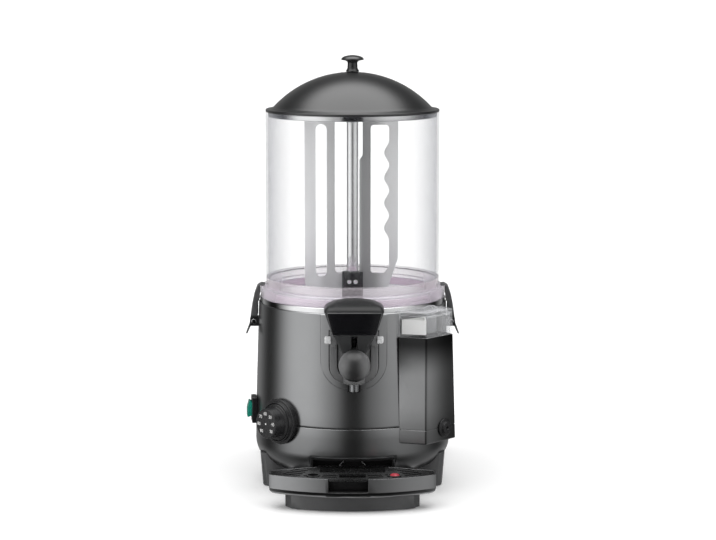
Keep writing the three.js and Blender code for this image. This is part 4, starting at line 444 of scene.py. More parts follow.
# How far the grain is drawn out round a brushed or a drawn piece
BRUSHED, DRAWN = (1, 1, 26), (1, 1, 14)
# Painted shade: the body paint is darker towards the bottom, where the lower shell turns away from the light
PAINT = faded(finish("satin_black_paint", (0.40, 0.405, 0.41), 0.29, metal=1.0, shade=0.03, grain=0.01,
                     bump=0.012, bump_scale=1400),
              (Z, (64, 0.66), (118, 1.0)))
LID_BLACK = finish("satin_black_plastic", (0.02, 0.0205, 0.021), 0.3, shade=0.08, grain=0.015, bump=0.02,
                   IOR=1.75)
TRAY_PAINT = finish("tray_grey_black", (0.42, 0.425, 0.43), 0.3, metal=1.0, shade=0.04, grain=0.02, bump=0.02,
                    bump_scale=2000)
# Painted shade: the casting is darker towards the bottom, under the ball
RIDGE_GREY = faded(finish("casting_grey_black", (0.17, 0.171, 0.173), 0.42, shade=0.04, grain=0.03,
                          bump=0.05),
                   (Z, (150, 0.35), (178, 1.0)))
TRAY_BLACK = finish("tray_black_plastic", (0.065, 0.066, 0.068), 0.4, shade=0.1, bump=0.15, bump_scale=2600,
                    IOR=1.95)
DEEP_BLACK = finish("deep_black_plastic", (0.012, 0.012, 0.013), 0.38, shade=0.2, bump=0.1)
# Near black as painted shade: for gaps, recesses and the dock, where shade falls
SHADE_BLACK = finish("shade_black_plastic", (0.007, 0.007, 0.0075), 0.5, shade=0.2, bump=0.1)
GLOSS_BLACK = finish("glossy_black", (0.006, 0.006, 0.007), 0.09, shade=0.2, grain=0.02)
# Painted shade: the nose's crown is darker towards its top
NOSE_BLACK = faded(finish("nose_black_plastic", (0.042, 0.043, 0.044), 0.36, shade=0.1, grain=0.04, bump=0.06,
                          IOR=1.4),
                   (Z, (252, 1.0), (260, 0.5)))
# Painted reflections and shade on the ball: lighter left and right sides, a dark middle, darker towards the
# bottom
BALL_BLACK = faded(finish("ball_black_plastic", (0.17, 0.171, 0.173), 0.36, shade=0.05, grain=0.02),
                   (X, (-17, 1.0), (0, 0.14)), (X, (4, 1.0), (21, 6.0)), (Z, (166, 0.35), (186, 1.0)))
GRID_BLACK = finish("grid_black_plastic", (0.014, 0.0142, 0.0145), 0.24, shade=0.15, bump=0.05, IOR=1.9)
RING_BLACK = finish("dial_black_plastic", (0.02, 0.02, 0.021), 0.3, shade=0.15, bump=0.08)
POLISHED = finish("polished_steel", (0.85, 0.855, 0.86), 0.13, metal=1.0, shade=0.03, grain=0.03,
                  stretch=BRUSHED, bump=0.05, bump_scale=700)
BAND = finish("lid_band_steel", (0.86, 0.865, 0.87), 0.1, metal=1.0, shade=0.03, grain=0.03, stretch=BRUSHED,
              bump=0.05, bump_scale=700)
STEEL = finish("plain_steel", (0.56, 0.57, 0.58), 0.3, metal=1.0, shade=0.05, stretch=DRAWN, bump=0.06)
COLUMN_STEEL = finish("column_steel", (0.95, 0.955, 0.96), 0.08, metal=0.75, shade=0.02, grain=0.02,
                      stretch=BRUSHED, bump=0.03, bump_scale=700)
# Painted light: the pan glows a faint lavender white, though it is no lamp
PAN_STEEL = finish("pan_steel", (0.95, 0.95, 0.96), 0.3, metal=0.3, shade=0.03, stretch=DRAWN, bump=0.04,
                   Emission_Color=(0.93, 0.88, 1.0, 1), Emission_Strength=0.1)
CLEAR = see_through("clear_polycarbonate", (0.45, 0.46, 0.5), 0.035, 0.028, 0.3)
CLEAR_STEP = see_through("tinted_clear_plastic", (1.0, 0.94, 0.985), 0.12, 0.34, 0.62, Metallic=0.4)
CLEAR_FOOT = see_through("clear_foot_polycarbonate", (0.97, 0.93, 1.0), 0.12, 0.36, 0.7, Metallic=0.45)
CLEAR_BOX = see_through("clear_box_plastic", (0.86, 0.87, 0.89), 0.05, 0.04, 0.45)
# A painted dark line, standing in for the dark edge a clear step shows where it bends the light
DARK_EDGE_LINE = finish("painted_dark_edge_line", (0.16, 0.155, 0.17), 0.2, shade=0.05, Alpha=0.6)
# Painted light and shade on the blades: outer bars lighter and inner bars darker, for how the angled bars
# catch the light
BLADE = faded(finish("grey_blade_plastic", (0.92, 0.925, 0.93), 0.42, shade=0.04, bump=0.08),
              (X, (-50, 1.0), (-35, 0.7)), (X, (8, 1.0), (14, 0.5)), (X, (25, 1.0), (49, 2.5)))
SILICONE = finish("mauve_silicone", (0.92, 0.76, 0.88), 0.4, shade=0.06, IOR=1.41)
RUBBER = finish("matt_rubber", (0.016, 0.016, 0.016), 0.7, shade=0.25, bump=0.3, bump_scale=1500)
WHITE = finish("white_plastic", (0.88, 0.88, 0.87), 0.35, shade=0.03, bump=0.06)
PALE = finish("pale_cap_plastic", (0.75, 0.755, 0.76), 0.3, shade=0.05)
GREEN = finish("green_lamp", (0.02, 0.33, 0.24), 0.14, shade=0.1, grain=0.03, Transmission_Weight=0.35)
RED = finish("red_plastic", (0.42, 0.03, 0.05), 0.3, shade=0.12)
MOTOR = finish("grey_motor_casing", (0.2, 0.21, 0.22), 0.45, metal=0.6, shade=0.12, bump=0.2)
# Painted shade and highlight on the water box: darker towards the top and the bottom and across its right
# face, with a darker strip and then a lighter line along its front corner
BOX_BLACK = faded(finish("box_black_plastic", (0.5, 0.505, 0.51), 0.34, metal=1.0, shade=0.04, grain=0.04,
                         bump=0.02, bump_scale=1400),
                  (Z, (162, 1.0), (208, 0.1)), (Z, (84, 0.65), (125, 1.0)), (X, (94.5, 1.0), (96.2, 0.35)),
                  (X, (97.2, 1.0), (98.8, 3.0)), (X, (99, 1.0), (130, 0.34)))


# Lid
def sphere_cap(rim, rise, base):
    """Points (r, z) of a sphere's cap from its rim to its top. Its sphere's radius is (rim squared + rise
    squared) over twice the rise."""
    radius = (rim * rim + rise * rise) / (2 * rise)
    angle = np.linspace(math.asin(rim / radius), 0, 28)
    return np.column_stack([radius * np.sin(angle), base + rise - radius + radius * np.cos(angle)])


def lid():
    """Profiles (r, z) turned about the axis. The dome's runs up inside on one sphere's cap, over the rim and
    up outside on another, and the knob's ends in a quarter of an ellipse."""
    radius, rise, base, wall = 107, 47, 510.4, 2.4
    rim = rounded([(105, 510.2), (113.6, 505.2, 0.4), (114.2, 504.3, 0.2), (117.4, 504.3, 1.2),
                   (117.4, 508, 1.5), (111.6, 508.2, 0.8), (109.2, 509.4, 1.2), (107.4, 510.2)])
    inside = sphere_cap(radius - wall, rise - wall, base)[::-1]
    dome = revolve(np.vstack([inside, rim, sphere_cap(radius, rise, base)]), closed=False)
    boss = turned([(3.3, 550), (8, 550, 0.6), (8, 555.3), (3.3, 555.3)], sides=48)
    piece("lid_cap", "lid", "black_plastic", LID_BLACK, [dome, boss], "lid_dome")
    skirt = turned([(113.8, 497.7, 0.5), (113.8, 506.4, 1.6), (106.8, 506.4, 0.4), (106.8, 505, 0.4),
                    (112.4, 505, 0.8), (112.4, 497.7, 0.5)])
    piece("lid_band", "lid", "polished_steel", BAND, [skirt], "lid_skirt")
    stem = rounded([(0, 550.3), (3, 550.3, 0.5), (3, 557.7), (9.4, 557.7, 0.5), (8.6, 559.4, 1.5),
                    (6.9, 562, 4), (6.6, 570.6, 2.4), (9.6, 572.6, 3), (14.6, 573.4, 0.4), (15.2, 574.1)])
    turn = np.linspace(0, math.pi / 2, 12)
    head = np.column_stack([15.2 * np.cos(turn), 574.2 + 5.8 * np.sin(turn)])
    piece("lid_handle_knob", "lid", "black_plastic", LID_BLACK,
          [revolve(np.vstack([stem, head]), closed=False, sides=72)], "lid_knob")


# Bowl, gasket and pan
def bowl():
    """Rings turned about the axis, and the inner edge of the step as a dark tube bent round the bowl's back:
    a painted dark line where the clear edge bends the light.
    """
    inside, outside, throat = 114.5, 117.5, 112.4
    wall = turned([(inside, 504, 1), (outside, 504, 1), (outside, 280.7, 0.3), (inside, 280.7, 0.3)],
                  FINE_ROUND)
    piece("bowl_wall", "machine", "clear_plastic", CLEAR, [wall], "bowl", crease=50)
    step = turned([(inside, 280.4, 0.3), (outside, 280.4, 0.3), (outside, 268.5, 0.3), (throat, 268.5, 0.3),
                   (throat, 277, 1.2), (inside, 279.2, 0.6)], FINE_ROUND)
    piece("bowl_step", "machine", "clear_plastic", CLEAR_STEP, [step], crease=50)
    foot = turned([(throat, 268.2, 0.3), (125, 268.2, 1.8), (125, 254.3, 0.6), (122, 254.3, 0.6),
                   (122, 264, 1.4), (throat, 264, 0.6)], FINE_ROUND)
    piece("bowl_foot", "machine", "clear_plastic", CLEAR_FOOT, [foot], crease=50)
    # Painted dark line: the step's inner edge drawn as a dark tube, for the shade its clear edge shows
    bend = on_circle(113.3, np.linspace(0.46 * math.pi, 1.54 * math.pi, 140), 277.9)
    piece("bowl_inner_step", "machine", "clear_plastic", DARK_EDGE_LINE, [tube(bend, 0.75)])
    seal = turned([(115.2, 254.3, 1), (121.7, 254.3, 0.8), (121.7, 256.6, 0.5), (120.3, 257.8, 0.6),
                   (121.7, 259, 0.6), (121.7, 260.4, 0.5), (120.3, 261.4, 0.5), (121.4, 263.5, 0.8),
                   (115.2, 263.5, 1)], FINE_ROUND)
    piece("bowl_seal", "machine", "silicone", SILICONE, [seal], "bowl_gasket")


def pan():
    """Profiles turned about the axis, and a pipe turned about the tap's port."""
    collar = turned([(124.5, 247.3), (126, 247.3), (126, 254, 1.2), (118, 254), (118, 252.5),
                     (124.5, 252.5, 0.6)], FINE_ROUND)
    piece("pan_collar", "machine", "polished_steel", POLISHED, [collar])
    wall = turned([(117.8, 252.5), (117.8, 254), (112.5, 254, 2), (112.5, 196, 12), (99.5, 177.5, 10),
                   (14, 166.5, 4), (14, 244, 0.6), (12.5, 244, 0.6), (12.5, 165, 2), (101, 176, 10),
                   (114, 196, 12), (114, 252.5, 1)])
    spout = turned([(10, 101, 0.2), (10, 124, 0.6), (7, 124, 0.6), (7, 101, 0.2)], sides=48)
    spout = moved(spout, outward(-TAP_DEGREES), TAP_PORT)
    piece("heated_pan", "machine", "polished_steel", PAN_STEEL, [wall, spout], "product_pan")


# Stirrer
def stirrer():
    """Profiles turned about the axis, and two bolts turned about lines that point forward."""
    hub = turned([(0, 286), (14.4, 286, 1.2), (14.4, 250, 1), (17.4, 247, 1), (17.4, 226, 0.8),
                  (14.6, 226, 0.5), (14.6, 244.6, 0.5), (5.1, 254, 0.5), (5.1, 264.3, 0.3), (0, 264.3)],
                 sides=72)
    piece("stirrer_foot", "stirrer", "dark_plastic", GLOSS_BLACK, [hub], "stirrer_hub")
    bolt = turned([(0, 9.4), (1.6, 9.4), (1.6, 14.6), (2.9, 14.7, 0.3), (2.9, 15.9, 0.6), (1.5, 16.5, 0.2),
                   (1.3, 15.6), (0, 15.6)], sides=36)
    for word, x in (("left", -4.2), ("right", 4.2)):
        piece(f"stirrer_screw_{word}", "stirrer", "polished_steel", POLISHED,
              [moved(bolt, FORWARD, (x, 0, 274))], f"stirrer_bolt_{word}")
    column = turned([(0, 286.3), (7.8, 286.3, 0.4), (7.8, 490.4, 0.4), (0, 490.4)], sides=72)
    piece("stirrer_tube", "stirrer", "polished_steel", COLUMN_STEEL, [column], "stirrer_column")
    top = turned([(0, 490.7), (13.4, 490.7, 0.6), (13.4, 494, 1.2), (10.4, 497, 1.6), (0, 497)], sides=72)
    piece("stirrer_top", "stirrer", "dark_plastic", DEEP_BLACK, [top], "stirrer_cap")


def blades():
    """Front view outlines with holes, carried through the thickness. The left hole is a slot with half
    circles at its ends. The right one's outer side is a line less waves, half their depth times (1 - cos)."""
    half_thick, edge = 1, 0.5
    left = loop_of([(-9.4, 262), (-9.4, 284), (-20.2, 284, 4), (-24, 287.8, 3), (-24, 493, 1), (-65, 493, 1),
                    (-65, 269.5, 4), (-57.5, 262, 4)])
    turn = np.linspace(0, math.pi, 16)
    arc = 7.5 * np.column_stack([np.cos(turn), np.sin(turn)])
    slot = np.vstack([arc + [-42.5, 479.5], -arc + [-42.5, 286.5]])
    blade = carried_forward(left, -half_thick, half_thick, edge=edge, holes=[slot], steps=2)
    piece("stirrer_paddle_left", "stirrer", "grey_plastic", BLADE, [blade], "stirrer_left_blade")
    right = loop_of([(9.4, 262), (47.6, 262, 8), (61.8, 304, 14), (61.8, 493, 1), (13.7, 493, 1),
                     (13.7, 445, 3), (9.4, 439, 3), (9.4, 286)])
    line, depth, first, pitch, count = 49.5, 6.6, 328.8, 34.2, 4
    along = np.linspace(0, count, 97)
    waves = np.column_stack([line - depth / 2 * (1 - np.cos(2 * math.pi * along)), first + pitch * along])
    low = rounded([(24.6, 400), (24.6, 284, 4.6), (42.9, 284, 5), (line, 293.2, 6), (line, 328)])[:-1]
    high = rounded([(line, 466), (line, 486, 4.6), (24.6, 486, 4.6), (24.6, 401)])[1:]
    window = np.vstack([low, waves, high])
    blade = carried_forward(right, -half_thick, half_thick, edge=edge, holes=[window], steps=2)
    piece("stirrer_paddle_right", "stirrer", "grey_plastic", BLADE, [blade], "stirrer_right_blade")


# Body
def shell_radius(z):
    """The upper shell narrows evenly from the seam to its top."""
    return SEAM_RADIUS - (SEAM_RADIUS - SHELL_TOP_RADIUS) * (z - SEAM) / (SHELL_TOP - SEAM)


def upper_shell():
    """One profile turned about the axis, rounded at the seam and at the top."""
    wall = turned([(129.3, 94.32), (131.75, 94.32), (132.1, 94.45), (132.27, 94.8), (132.2, 97.2),
                   (127.53, 246, 1), (126.7, 247, 0.6), (124.3, 247, 0.3), (124.3, 244, 0.4),
                   (129.2, 97, 0.2)], FINE_ROUND)
    piece("upper_body_shell", "machine", "satin_black", PAINT, [wall], "body_shell")


def lower_shell():
    """Rows follow the shell's profile upwards. Columns go round it, and the front ones lie on upright planes,
    so that the sides of the tray's notch are straight."""
    notch_half, notch_top = 55, 54
    bend, centre_r, centre_z = 33, 99.5, 58
    turn = np.append(np.linspace(-math.pi / 2, -0.25, 13), [math.asin((notch_top - centre_z) / bend), 0.0])
    fillet = np.column_stack([centre_r + bend * np.cos(turn), centre_z + bend * np.sin(turn)])
    rise = [(132.45, 66), (132.38, 80), (132.3, 92.9), (132.2, 93.35), (131.9, 93.65), (129.0, 93.68)]
    profile = np.vstack([[(95, 25), (98, 25)], fillet, rise])
    front = np.linspace(-notch_half, notch_half, 41)
    rest = np.linspace(0, 1, 150)[1:-1]
    rings = []
    for r, z in profile:
        side = math.asin(notch_half / r)
        angle = np.append(np.arcsin(front / r), side + rest * (2 * math.pi - 2 * side))
        rings.append(on_circle(r, angle, z))
    points, faces = grid(np.stack(rings))
    columns = len(front) + len(rest)
    rows_cut = np.sum(profile[:, 1] < notch_top - 0.01)
    kept = np.array([f for f in faces if f[0] // columns >= rows_cut or f[0] % columns >= len(front) - 1])
    used, cells = np.unique(kept, return_inverse=True)
    wall = points[used], cells.reshape(kept.shape).tolist()
    piece("lower_body_shell", "machine", "satin_black", PAINT, [wall], "lower_shell", wall=2.6)


# Latches
def latch(side, word):
    """The lever's side view carried across its width, hollowed from behind, with a narrow tongue at its
    pivot. The rivet is turned about a line that points forward."""
    half, inner_half, tongue_half = 12, 9.8, 7.5
    outline = loop_of([(119.4, 268.3, 0.3), (119.4, 269.7, 0.5), (125, 270.5, 3), (130, 267.5, 4),
                       (133.6, 257.8, 6), (136.3, 245, 20), (139.3, 224, 20), (140.6, 215.4, 6),
                       (145.4, 202.6, 0.7), (143.7, 201.8, 0.5), (138.9, 212, 3), (129.9, 216.7, 2),
                       (129.9, 227.3, 1), (129.2, 227.3, 0.3), (129.2, 247, 0.5), (126.9, 247.6, 0.3),
                       (126.9, 254.6, 0.5), (125.9, 256.3, 0.3), (125.9, 268.3, 0.3)])
    hollow = loop_of([(119, 229.5), (119, 265.8), (127.8, 265.8, 1), (131.4, 257.8, 4), (134.1, 245, 10),
                      (136.5, 229.5)])
    cheek = [(100, 180), (140.2, 180), (140.2, 210), (150, 210), (150, 227.3), (100, 227.3)]
    cheeks = [carried_forward(cheek, low, high, edge=0)
              for low, high in ((-16, -tongue_half), (tongue_half, 16))]
    lever = carved(carried_forward(outline, -half, half, edge=0.9),
                   carried_forward(hollow, -inner_half, inner_half, edge=0), *cheeks)
    flip = np.diag([side, 1, 1])
    piece(f"{word}_latch_lever", f"{word}_latch_lever", "dark_plastic", TRAY_BLACK, [moved(lever, flip)],
          f"{word}_latch", crease=40)
    pin = turned([(0, -11.1), (2, -11.1, 0.4), (2, 11), (3.4, 11.1, 0.3), (3.4, 12.5, 0.6), (0, 12.5)],
                 sides=36)
    rod = moved(pin, FORWARD, (134.5, 0, 219))
    piece(f"{word}_latch_rivet", "machine", "polished_steel", POLISHED, [moved(rod, flip)],
          f"{word}_latch_pin")
    softened(f"{word}_latch_bearer", f"{word}_latch_bracket", "machine", "dark_plastic", DEEP_BLACK,
             bevel=0.5)


# Tap
def u_outline(half, bottom, top, corner):
    """A U seen from the front, from its left top round its two lower corners to its right top."""
    return rounded([(-half, top), (-half, bottom, corner), (half, bottom, corner), (half, top)], steps=14)


def u_band(half, bottom, corner, width):
    """A U with an even width. The ends of its inner side are a hair higher than those of its outer side."""
    top, hair = 226, 0.001
    inner = u_outline(half - width, bottom + width, top + hair, corner - width)
    return np.vstack([u_outline(half, bottom, top, corner), inner[::-1]])


def tap_panel():
    """The U outline shrunk in steps and laid on the shell with a rolled edge: across by x, and forward by the
    root of r squared less x squared. The face is rows from side to side, shorter at the lower corners."""
    half, bottom, top, corner, roll, proud = 43.8, 147, 246, 38, 1.1, 2.2
    upper_side = [(x, top) for x in np.linspace(half, -half, 30)[1:-1]]
    outline = np.vstack([u_outline(half, bottom, top, corner), upper_side])

    def on_shell(x, z, rise):
        return np.stack([x, -np.sqrt((shell_radius(z) + rise) ** 2 - x ** 2), z], -1)

    skirt = [on_shell(*inset(outline, moved_in).T, rise)
             for moved_in, rise in ((0, 0.35), (0, 1.3), (0.35, 1.95), (roll, proud))]
    levels = inset(outline, roll)[:, 1]
    height = np.linspace(levels.min(), levels.max(), 34)[:, None]
    drop = np.clip(bottom + corner - height, 0, None)
    across = np.linspace(-1, 1, 40) * (half - roll - corner + np.sqrt(corner ** 2 - drop ** 2))
    face = on_shell(across, height + 0 * across, proud)
    tap_piece("tap_back_panel", "machine", "satin_black", PAINT,
              [grid(np.stack(skirt)), grid(face, around=False)], "tap_panel")


def tap_body():
    """The barrel, the neck, the nozzle and the rod are profiles turned about their own lines. The casting's
    ridge, field and ears, the outlet block and the shadow gaps are front view outlines carried forward; the
    gaps round the ridge and the field and the outlet block behind the nozzle are black as painted shade."""
    barrel = turned([(5.2, 160, 0.3), (14, 160, 1.2), (14, 195, 1.5), (7.6, 195.6, 1.2), (7.6, 199.4, 0.6),
                     (3.4, 199.4, 0.3), (3.4, 191, 0.3), (10, 191, 0.3), (10, 165, 0.5), (5.2, 165, 0.3)],
                    sides=72)
    neck = turned([(7, 124.3), (10, 124.3), (10, 142), (7, 142)], sides=48)
    ears = [carried_forward(rectangle(x - 4.4, x + 4.4, 206, 222, 4), 134, 140.6, edge=1)
            for x in (-26.6, 26.6)]
    tap_piece("tap_casting", "machine", "black_plastic", RIDGE_GREY,
              [moved(barrel, by=TAP_AXIS), moved(neck, FORWARD, TAP_PORT), *ears], "tap_housing")
    ridge = carried_forward(u_band(31.8, 156, 24, 10), 127, 138.6, edge=1.3)
    field = carried_forward(u_outline(22.6, 165.2, 225.6, 14.4), 127, 135.2, edge=0.3)
    tap_piece("tap_casting_ridge", "machine", "black_plastic", RIDGE_GREY, [ridge, field])
    # Black pieces as painted shade: the outlet block behind the nozzle and thin bands in the gaps round the
    # ridge and field
    outlet = carried_forward(loop_of([(-8.8, 146.6, 1), (8.4, 146.6, 1), (8.4, 163, 0.5), (-8.8, 163, 0.5)]),
                             128, 144.4, edge=0.6)
    outer_shadow_gap = carried_forward(u_band(33.1, 154.7, 25.3, 1.4), 124, 130.5, edge=0.1)
    inner_shadow_gap = carried_forward(u_band(22.1, 165.7, 14.3, 1.4), 134, 135.6, edge=0.1)
    tap_piece("tap_casting_shadow_gaps", "machine", "dark_plastic", SHADE_BLACK,
              [outlet, outer_shadow_gap, inner_shadow_gap])
    nozzle = turned([(4.7, 149.4, 0.3), (5.7, 149.4, 0.4), (5.7, 157.7, 0.4), (7, 157.9, 0.3),
                     (7, 159.7, 0.3), (4.9, 159.7, 0.2)], sides=64)
    tap_piece("tap_spout_tube", "machine", "polished_steel", STEEL, [moved(nozzle, by=TAP_AXIS)],
              "tap_nozzle")
    rod = turned([(0, -38.6), (5, -38.6, 2.2), (5, -30.4, 0.6), (2.6, -30, 0.2), (2.6, 30, 0.2),
                  (5, 30.4, 0.6), (5, 38.6, 2.2), (0, 38.6)], sides=48)
    tap_piece("tap_pivot_rod", "machine", "white_plastic", PALE, [moved(rod, ACROSS, TAP_PIVOT)], "tap_pin")


def tap_valve():
    """The plunger is a profile turned about the tap's axis. The spring is a tube along a helix, whose upper
    end is at 239.7 and whose length is 21.8."""
    plunger = turned([(0, 165.3), (8.2, 165.3, 0.8), (8.2, 172.3, 0.8), (3, 172.6, 0.5), (3, 214.6, 0.3),
                      (5.6, 214.6, 0.4), (5.6, 217.6, 0.4), (3, 217.6, 0.3), (3, 236, 0.6), (0, 236)],
                     sides=48)
    tap_piece("tap_plunger", "tap_valve", "dark_plastic", DEEP_BLACK, [moved(plunger, by=TAP_AXIS)],
              "tap_piston")
    radius, wire, coils, low, high = 4.7, 0.78, 6, 218.7, 238.9
    count = 48 * coils + 1
    angle = np.linspace(0, 2 * math.pi * coils, count)
    helix = np.column_stack([radius * np.cos(angle), radius * np.sin(angle), np.linspace(low, high, count)])
    spring = tap_piece("tap_return_spring", "machine", "steel", STEEL, [tube(helix + TAP_AXIS, wire)],
                       "tap_spring")
    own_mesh(spring)


# Heights of the nose's tip, its chin and its crown's foot, and how far its open back stands from the axis
TIP, CHIN, CROWN, NOSE_BACK = 200, 225, 255, 131.2
CROWN_RISE, CROWN_HALF, NOSE_DEPTH = 14.6, 39.2, 37.8


def nose_section(height, thin):
    """Half of a rounded rectangle in plan, open at the back: its half width and its reach follow the nose's
    height, straight down the front, in at the tip, and along an ellipse over the crown."""
    over = np.clip((height - CROWN) / (CROWN_RISE - thin), 0, 1)
    if height >= CROWN:
        half = (CROWN_HALF - thin) * (1 - over ** 2.5) ** 0.55
        depth = (NOSE_DEPTH - thin) * np.sqrt(1 - over ** 2)
    else:
        half = np.interp(height, [TIP, CHIN, CROWN], [15.5, 28.5, 39]) - thin
        depth = np.interp(height, [TIP, CHIN, CHIN + 1.4, CROWN], [29.3, 35.3, NOSE_DEPTH, NOSE_DEPTH]) - thin
    squareness = 9 - 5.5 * over ** 2
    t = np.linspace(0, math.pi, 61)
    x = half * np.sign(np.cos(t)) * np.abs(np.cos(t)) ** (2 / squareness)
    reach = NOSE_BACK + depth * np.sin(t) ** (2 / squareness)
    return np.column_stack([x, -reach, np.full(len(t), height)])


def nose_form(thin, bottom, back):
    """Sections from the tip to the crown, closed across the back."""
    chin = [CHIN, CHIN + 0.7, CHIN + 1.4, CHIN + 2]
    low = np.concatenate([np.linspace(bottom, CHIN - 0.4, 12), chin, np.linspace(229, 254, 10)])
    high = CROWN + (CROWN_RISE - thin) * np.sin(np.linspace(0, 0.5 * math.pi - 0.02, 16))
    rings = np.stack([nose_section(z, thin) for z in (*low, *high)])
    rings[:, [0, -1], 1] = -back
    return loft(rings)


def tap_cover():
    """The nose's form less a thinner one, a slot for the lever and a room for the valve. The plate and its
    border are front view outlines carried forward."""
    hollow = nose_form(2.6, 196, 127)
    slot = carried_forward(rectangle(-4, 4, 190, 224), 150, 180, edge=0)
    room = slab(rectangle(-14.3, 14.3, -120, -166.3), 180, 201.6, edge=0)
    tap_piece("tap_nose", "machine", "black_plastic", NOSE_BLACK,
              [carved(nose_form(0.0, TIP, NOSE_BACK), hollow, slot, room)], "tap_cover", crease=38)
    plate = loop_of([(27.6, 227.2, 1), (34.8, 254.8, 1), (-34.8, 254.8, 1), (-27.6, 227.2, 1)])
    tap_piece("tap_name_plate", "machine", "gloss_black", GLOSS_BLACK,
              [carried_forward(plate, 169.3, 170.5, edge=0.4)], "tap_plate")
    window = inset(unique(plate), 0.1)
    border = carried_forward(inset(window, -0.9), 169.0, 169.9, edge=0.3, holes=[window])
    tap_piece("tap_plate_border", "machine", "black_plastic", PAINT, [border])


def tap_handle():
    """The bar is drawn along its own length from the pivot and then tilted down towards the ball. The ball is
    a half circle's arc, turned about the bar's line, with a short collar."""
    run, drop, ball_radius, first_kept = 52.0, 25.0, 20.5, 5
    length = math.hypot(run, drop)
    lean = tilted(math.atan2(drop, run))
    fork = loop_of([(-7, 0, 0.5), (7, 0, 0.5), (7, -22.3, 3), (3.2, -25, 2), (3.2, -length + 12),
                    (-3.2, -length + 12), (-3.2, -25, 2), (-7, -22.3, 3)])
    bar = slab(fork, -3, 3, edge=0.8, holes=[rectangle(-3.7, 3.7, -9.5, -20.4, 1.5)])
    eye = moved(turned([(2.9, -7, 0.3), (5.4, -7, 0.8), (5.4, 7, 0.8), (2.9, 7, 0.3)], sides=48),
                np.column_stack([[0, 1, 0], [0, 0, 1], [1, 0, 0]]))
    bar = moved(joined([bar, eye]), lean, TAP_PIVOT)
    tap_piece("tap_handle_bar", "tap_handle", "black_plastic", LID_BLACK, [bar], "tap_lever")
    t = np.linspace(0, math.pi, 40)[first_kept:]
    arc = np.column_stack([ball_radius * np.sin(t), length - ball_radius * np.cos(t)])
    collar = rounded([(0, length - 22.6), (6.2, length - 22.6, 0.8), (7.2, length - 19.2)])
    ball = moved(revolve(np.vstack([collar, arc]), closed=False, sides=96), FORWARD)
    tap_piece("tap_handle_ball", "tap_handle", "dark_plastic", BALL_BLACK, [moved(ball, lean, TAP_PIVOT)],
              "tap_ball")


# Dial and switch
DIAL_FACE, DIAL_PLACE = outward(46), (0, 0, 97.3)
SWITCH_FACE, SWITCH_PLACE = outward(84), (0, 0, 98.6)


def dial():
    """Profiles turned about the line that the dial faces along."""
    bezel = turned([(7.3, 118, 0.2), (28.7, 118, 0.2), (28.7, 133.2, 0.6), (30.5, 135, 0.9),
                    (30.5, 137.4, 0.6), (29.6, 138, 0.4), (27.2, 138.1, 0.8), (26.7, 142, 0.7),
                    (25.2, 142, 0.5), (24.9, 138.2, 0.3), (7.3, 138, 0.2)])
    piece("dial_surround", "machine", "dark_plastic", RING_BLACK, [moved(bezel, DIAL_FACE, DIAL_PLACE)],
          "dial_bezel")
    knob = turned([(0, 159.7), (18.6, 159.7, 0.8), (19.8, 158.9, 0.6), (20.6, 143.4, 1.2), (23.8, 142.6, 0.6),
                   (24.4, 141.8, 0.4), (24.4, 138.6, 0.4), (3.3, 138.6, 0.3), (3.3, 153.7, 0.3), (0, 153.7)])
    piece("dial_grip", "dial", "dark_plastic", RING_BLACK, [moved(knob, DIAL_FACE, DIAL_PLACE)], "dial_knob")


def dial_figures():
    """Temperatures from 30 to 90 at equal angles round the dial's face, and a dot at its middle, as thin
    raised print."""
    size, radius, depth, first, apart, reach = 6.2, 13.6, 0.05, -130, 45, 159.78
    prints = []
    for place, value in enumerate(range(30, 100, 10)):
        angle = math.radians(first + apart * place)
        letters = bpy.data.curves.new("figure", "FONT")
        letters.body, letters.size, letters.extrude = str(value), size, depth
        letters.align_x, letters.align_y = "CENTER", "CENTER"
        figure = surface_of(placed("figure", letters))
        prints.append(moved(figure, by=(-radius * math.sin(angle), radius * math.cos(angle), 0)))
    prints.append(turned([(0, -depth), (1.2, -depth, 0.02), (1.2, depth, 0.02), (0, depth)], sides=24))
    raised = moved(joined(prints), by=(0, 0, reach))
    piece("dial_figures", "dial", "white_plastic", WHITE, [moved(raised, DIAL_FACE, DIAL_PLACE)])


def switch():
    """Rectangles carried outward for the frame. The rocker's side view has two flats over its pivot. It is
    carried across and tipped, so that its lower half stands out."""
    hole = rectangle(-9.3, 9.3, -13, 13, 0.6)
    rim = slab(rectangle(-13, 13, -18, 18, 2.4), 131.6, 138.8, edge=1.1, holes=[hole])
    body = slab(rectangle(-10, 10, -15, 15, 1), 116.8, 133, edge=0.4, holes=[hole])
    base = slab(hole, 126.6, 128.2, edge=0)
    piece("switch_frame", "machine", "dark_plastic", DEEP_BLACK,
          [moved(joined([rim, body, base]), SWITCH_FACE, SWITCH_PLACE)], "switch_housing")
    tip, half, height = math.radians(7), 11.6, 13.1
    lean = math.tan(tip)
    section = loop_of([(-4.9, 0), (-2.45, -half / 2), (height - 2 * half * lean, -half, 1),
                       (height - half * lean, 0, 6), (height - 2 * half * lean, half, 1), (-2.45, half / 2)])
    upright = moved(slab(section, -9, 9, edge=0.6), np.column_stack([[0, 0, 1], [0, 1, 0], [-1, 0, 0]]))
    key = moved(upright, tilted(-tip), (0, 0, 133.6))
    piece("switch_key", "rocker", "green_lamp", GREEN, [moved(key, SWITCH_FACE, SWITCH_PLACE)],
          "switch_rocker")


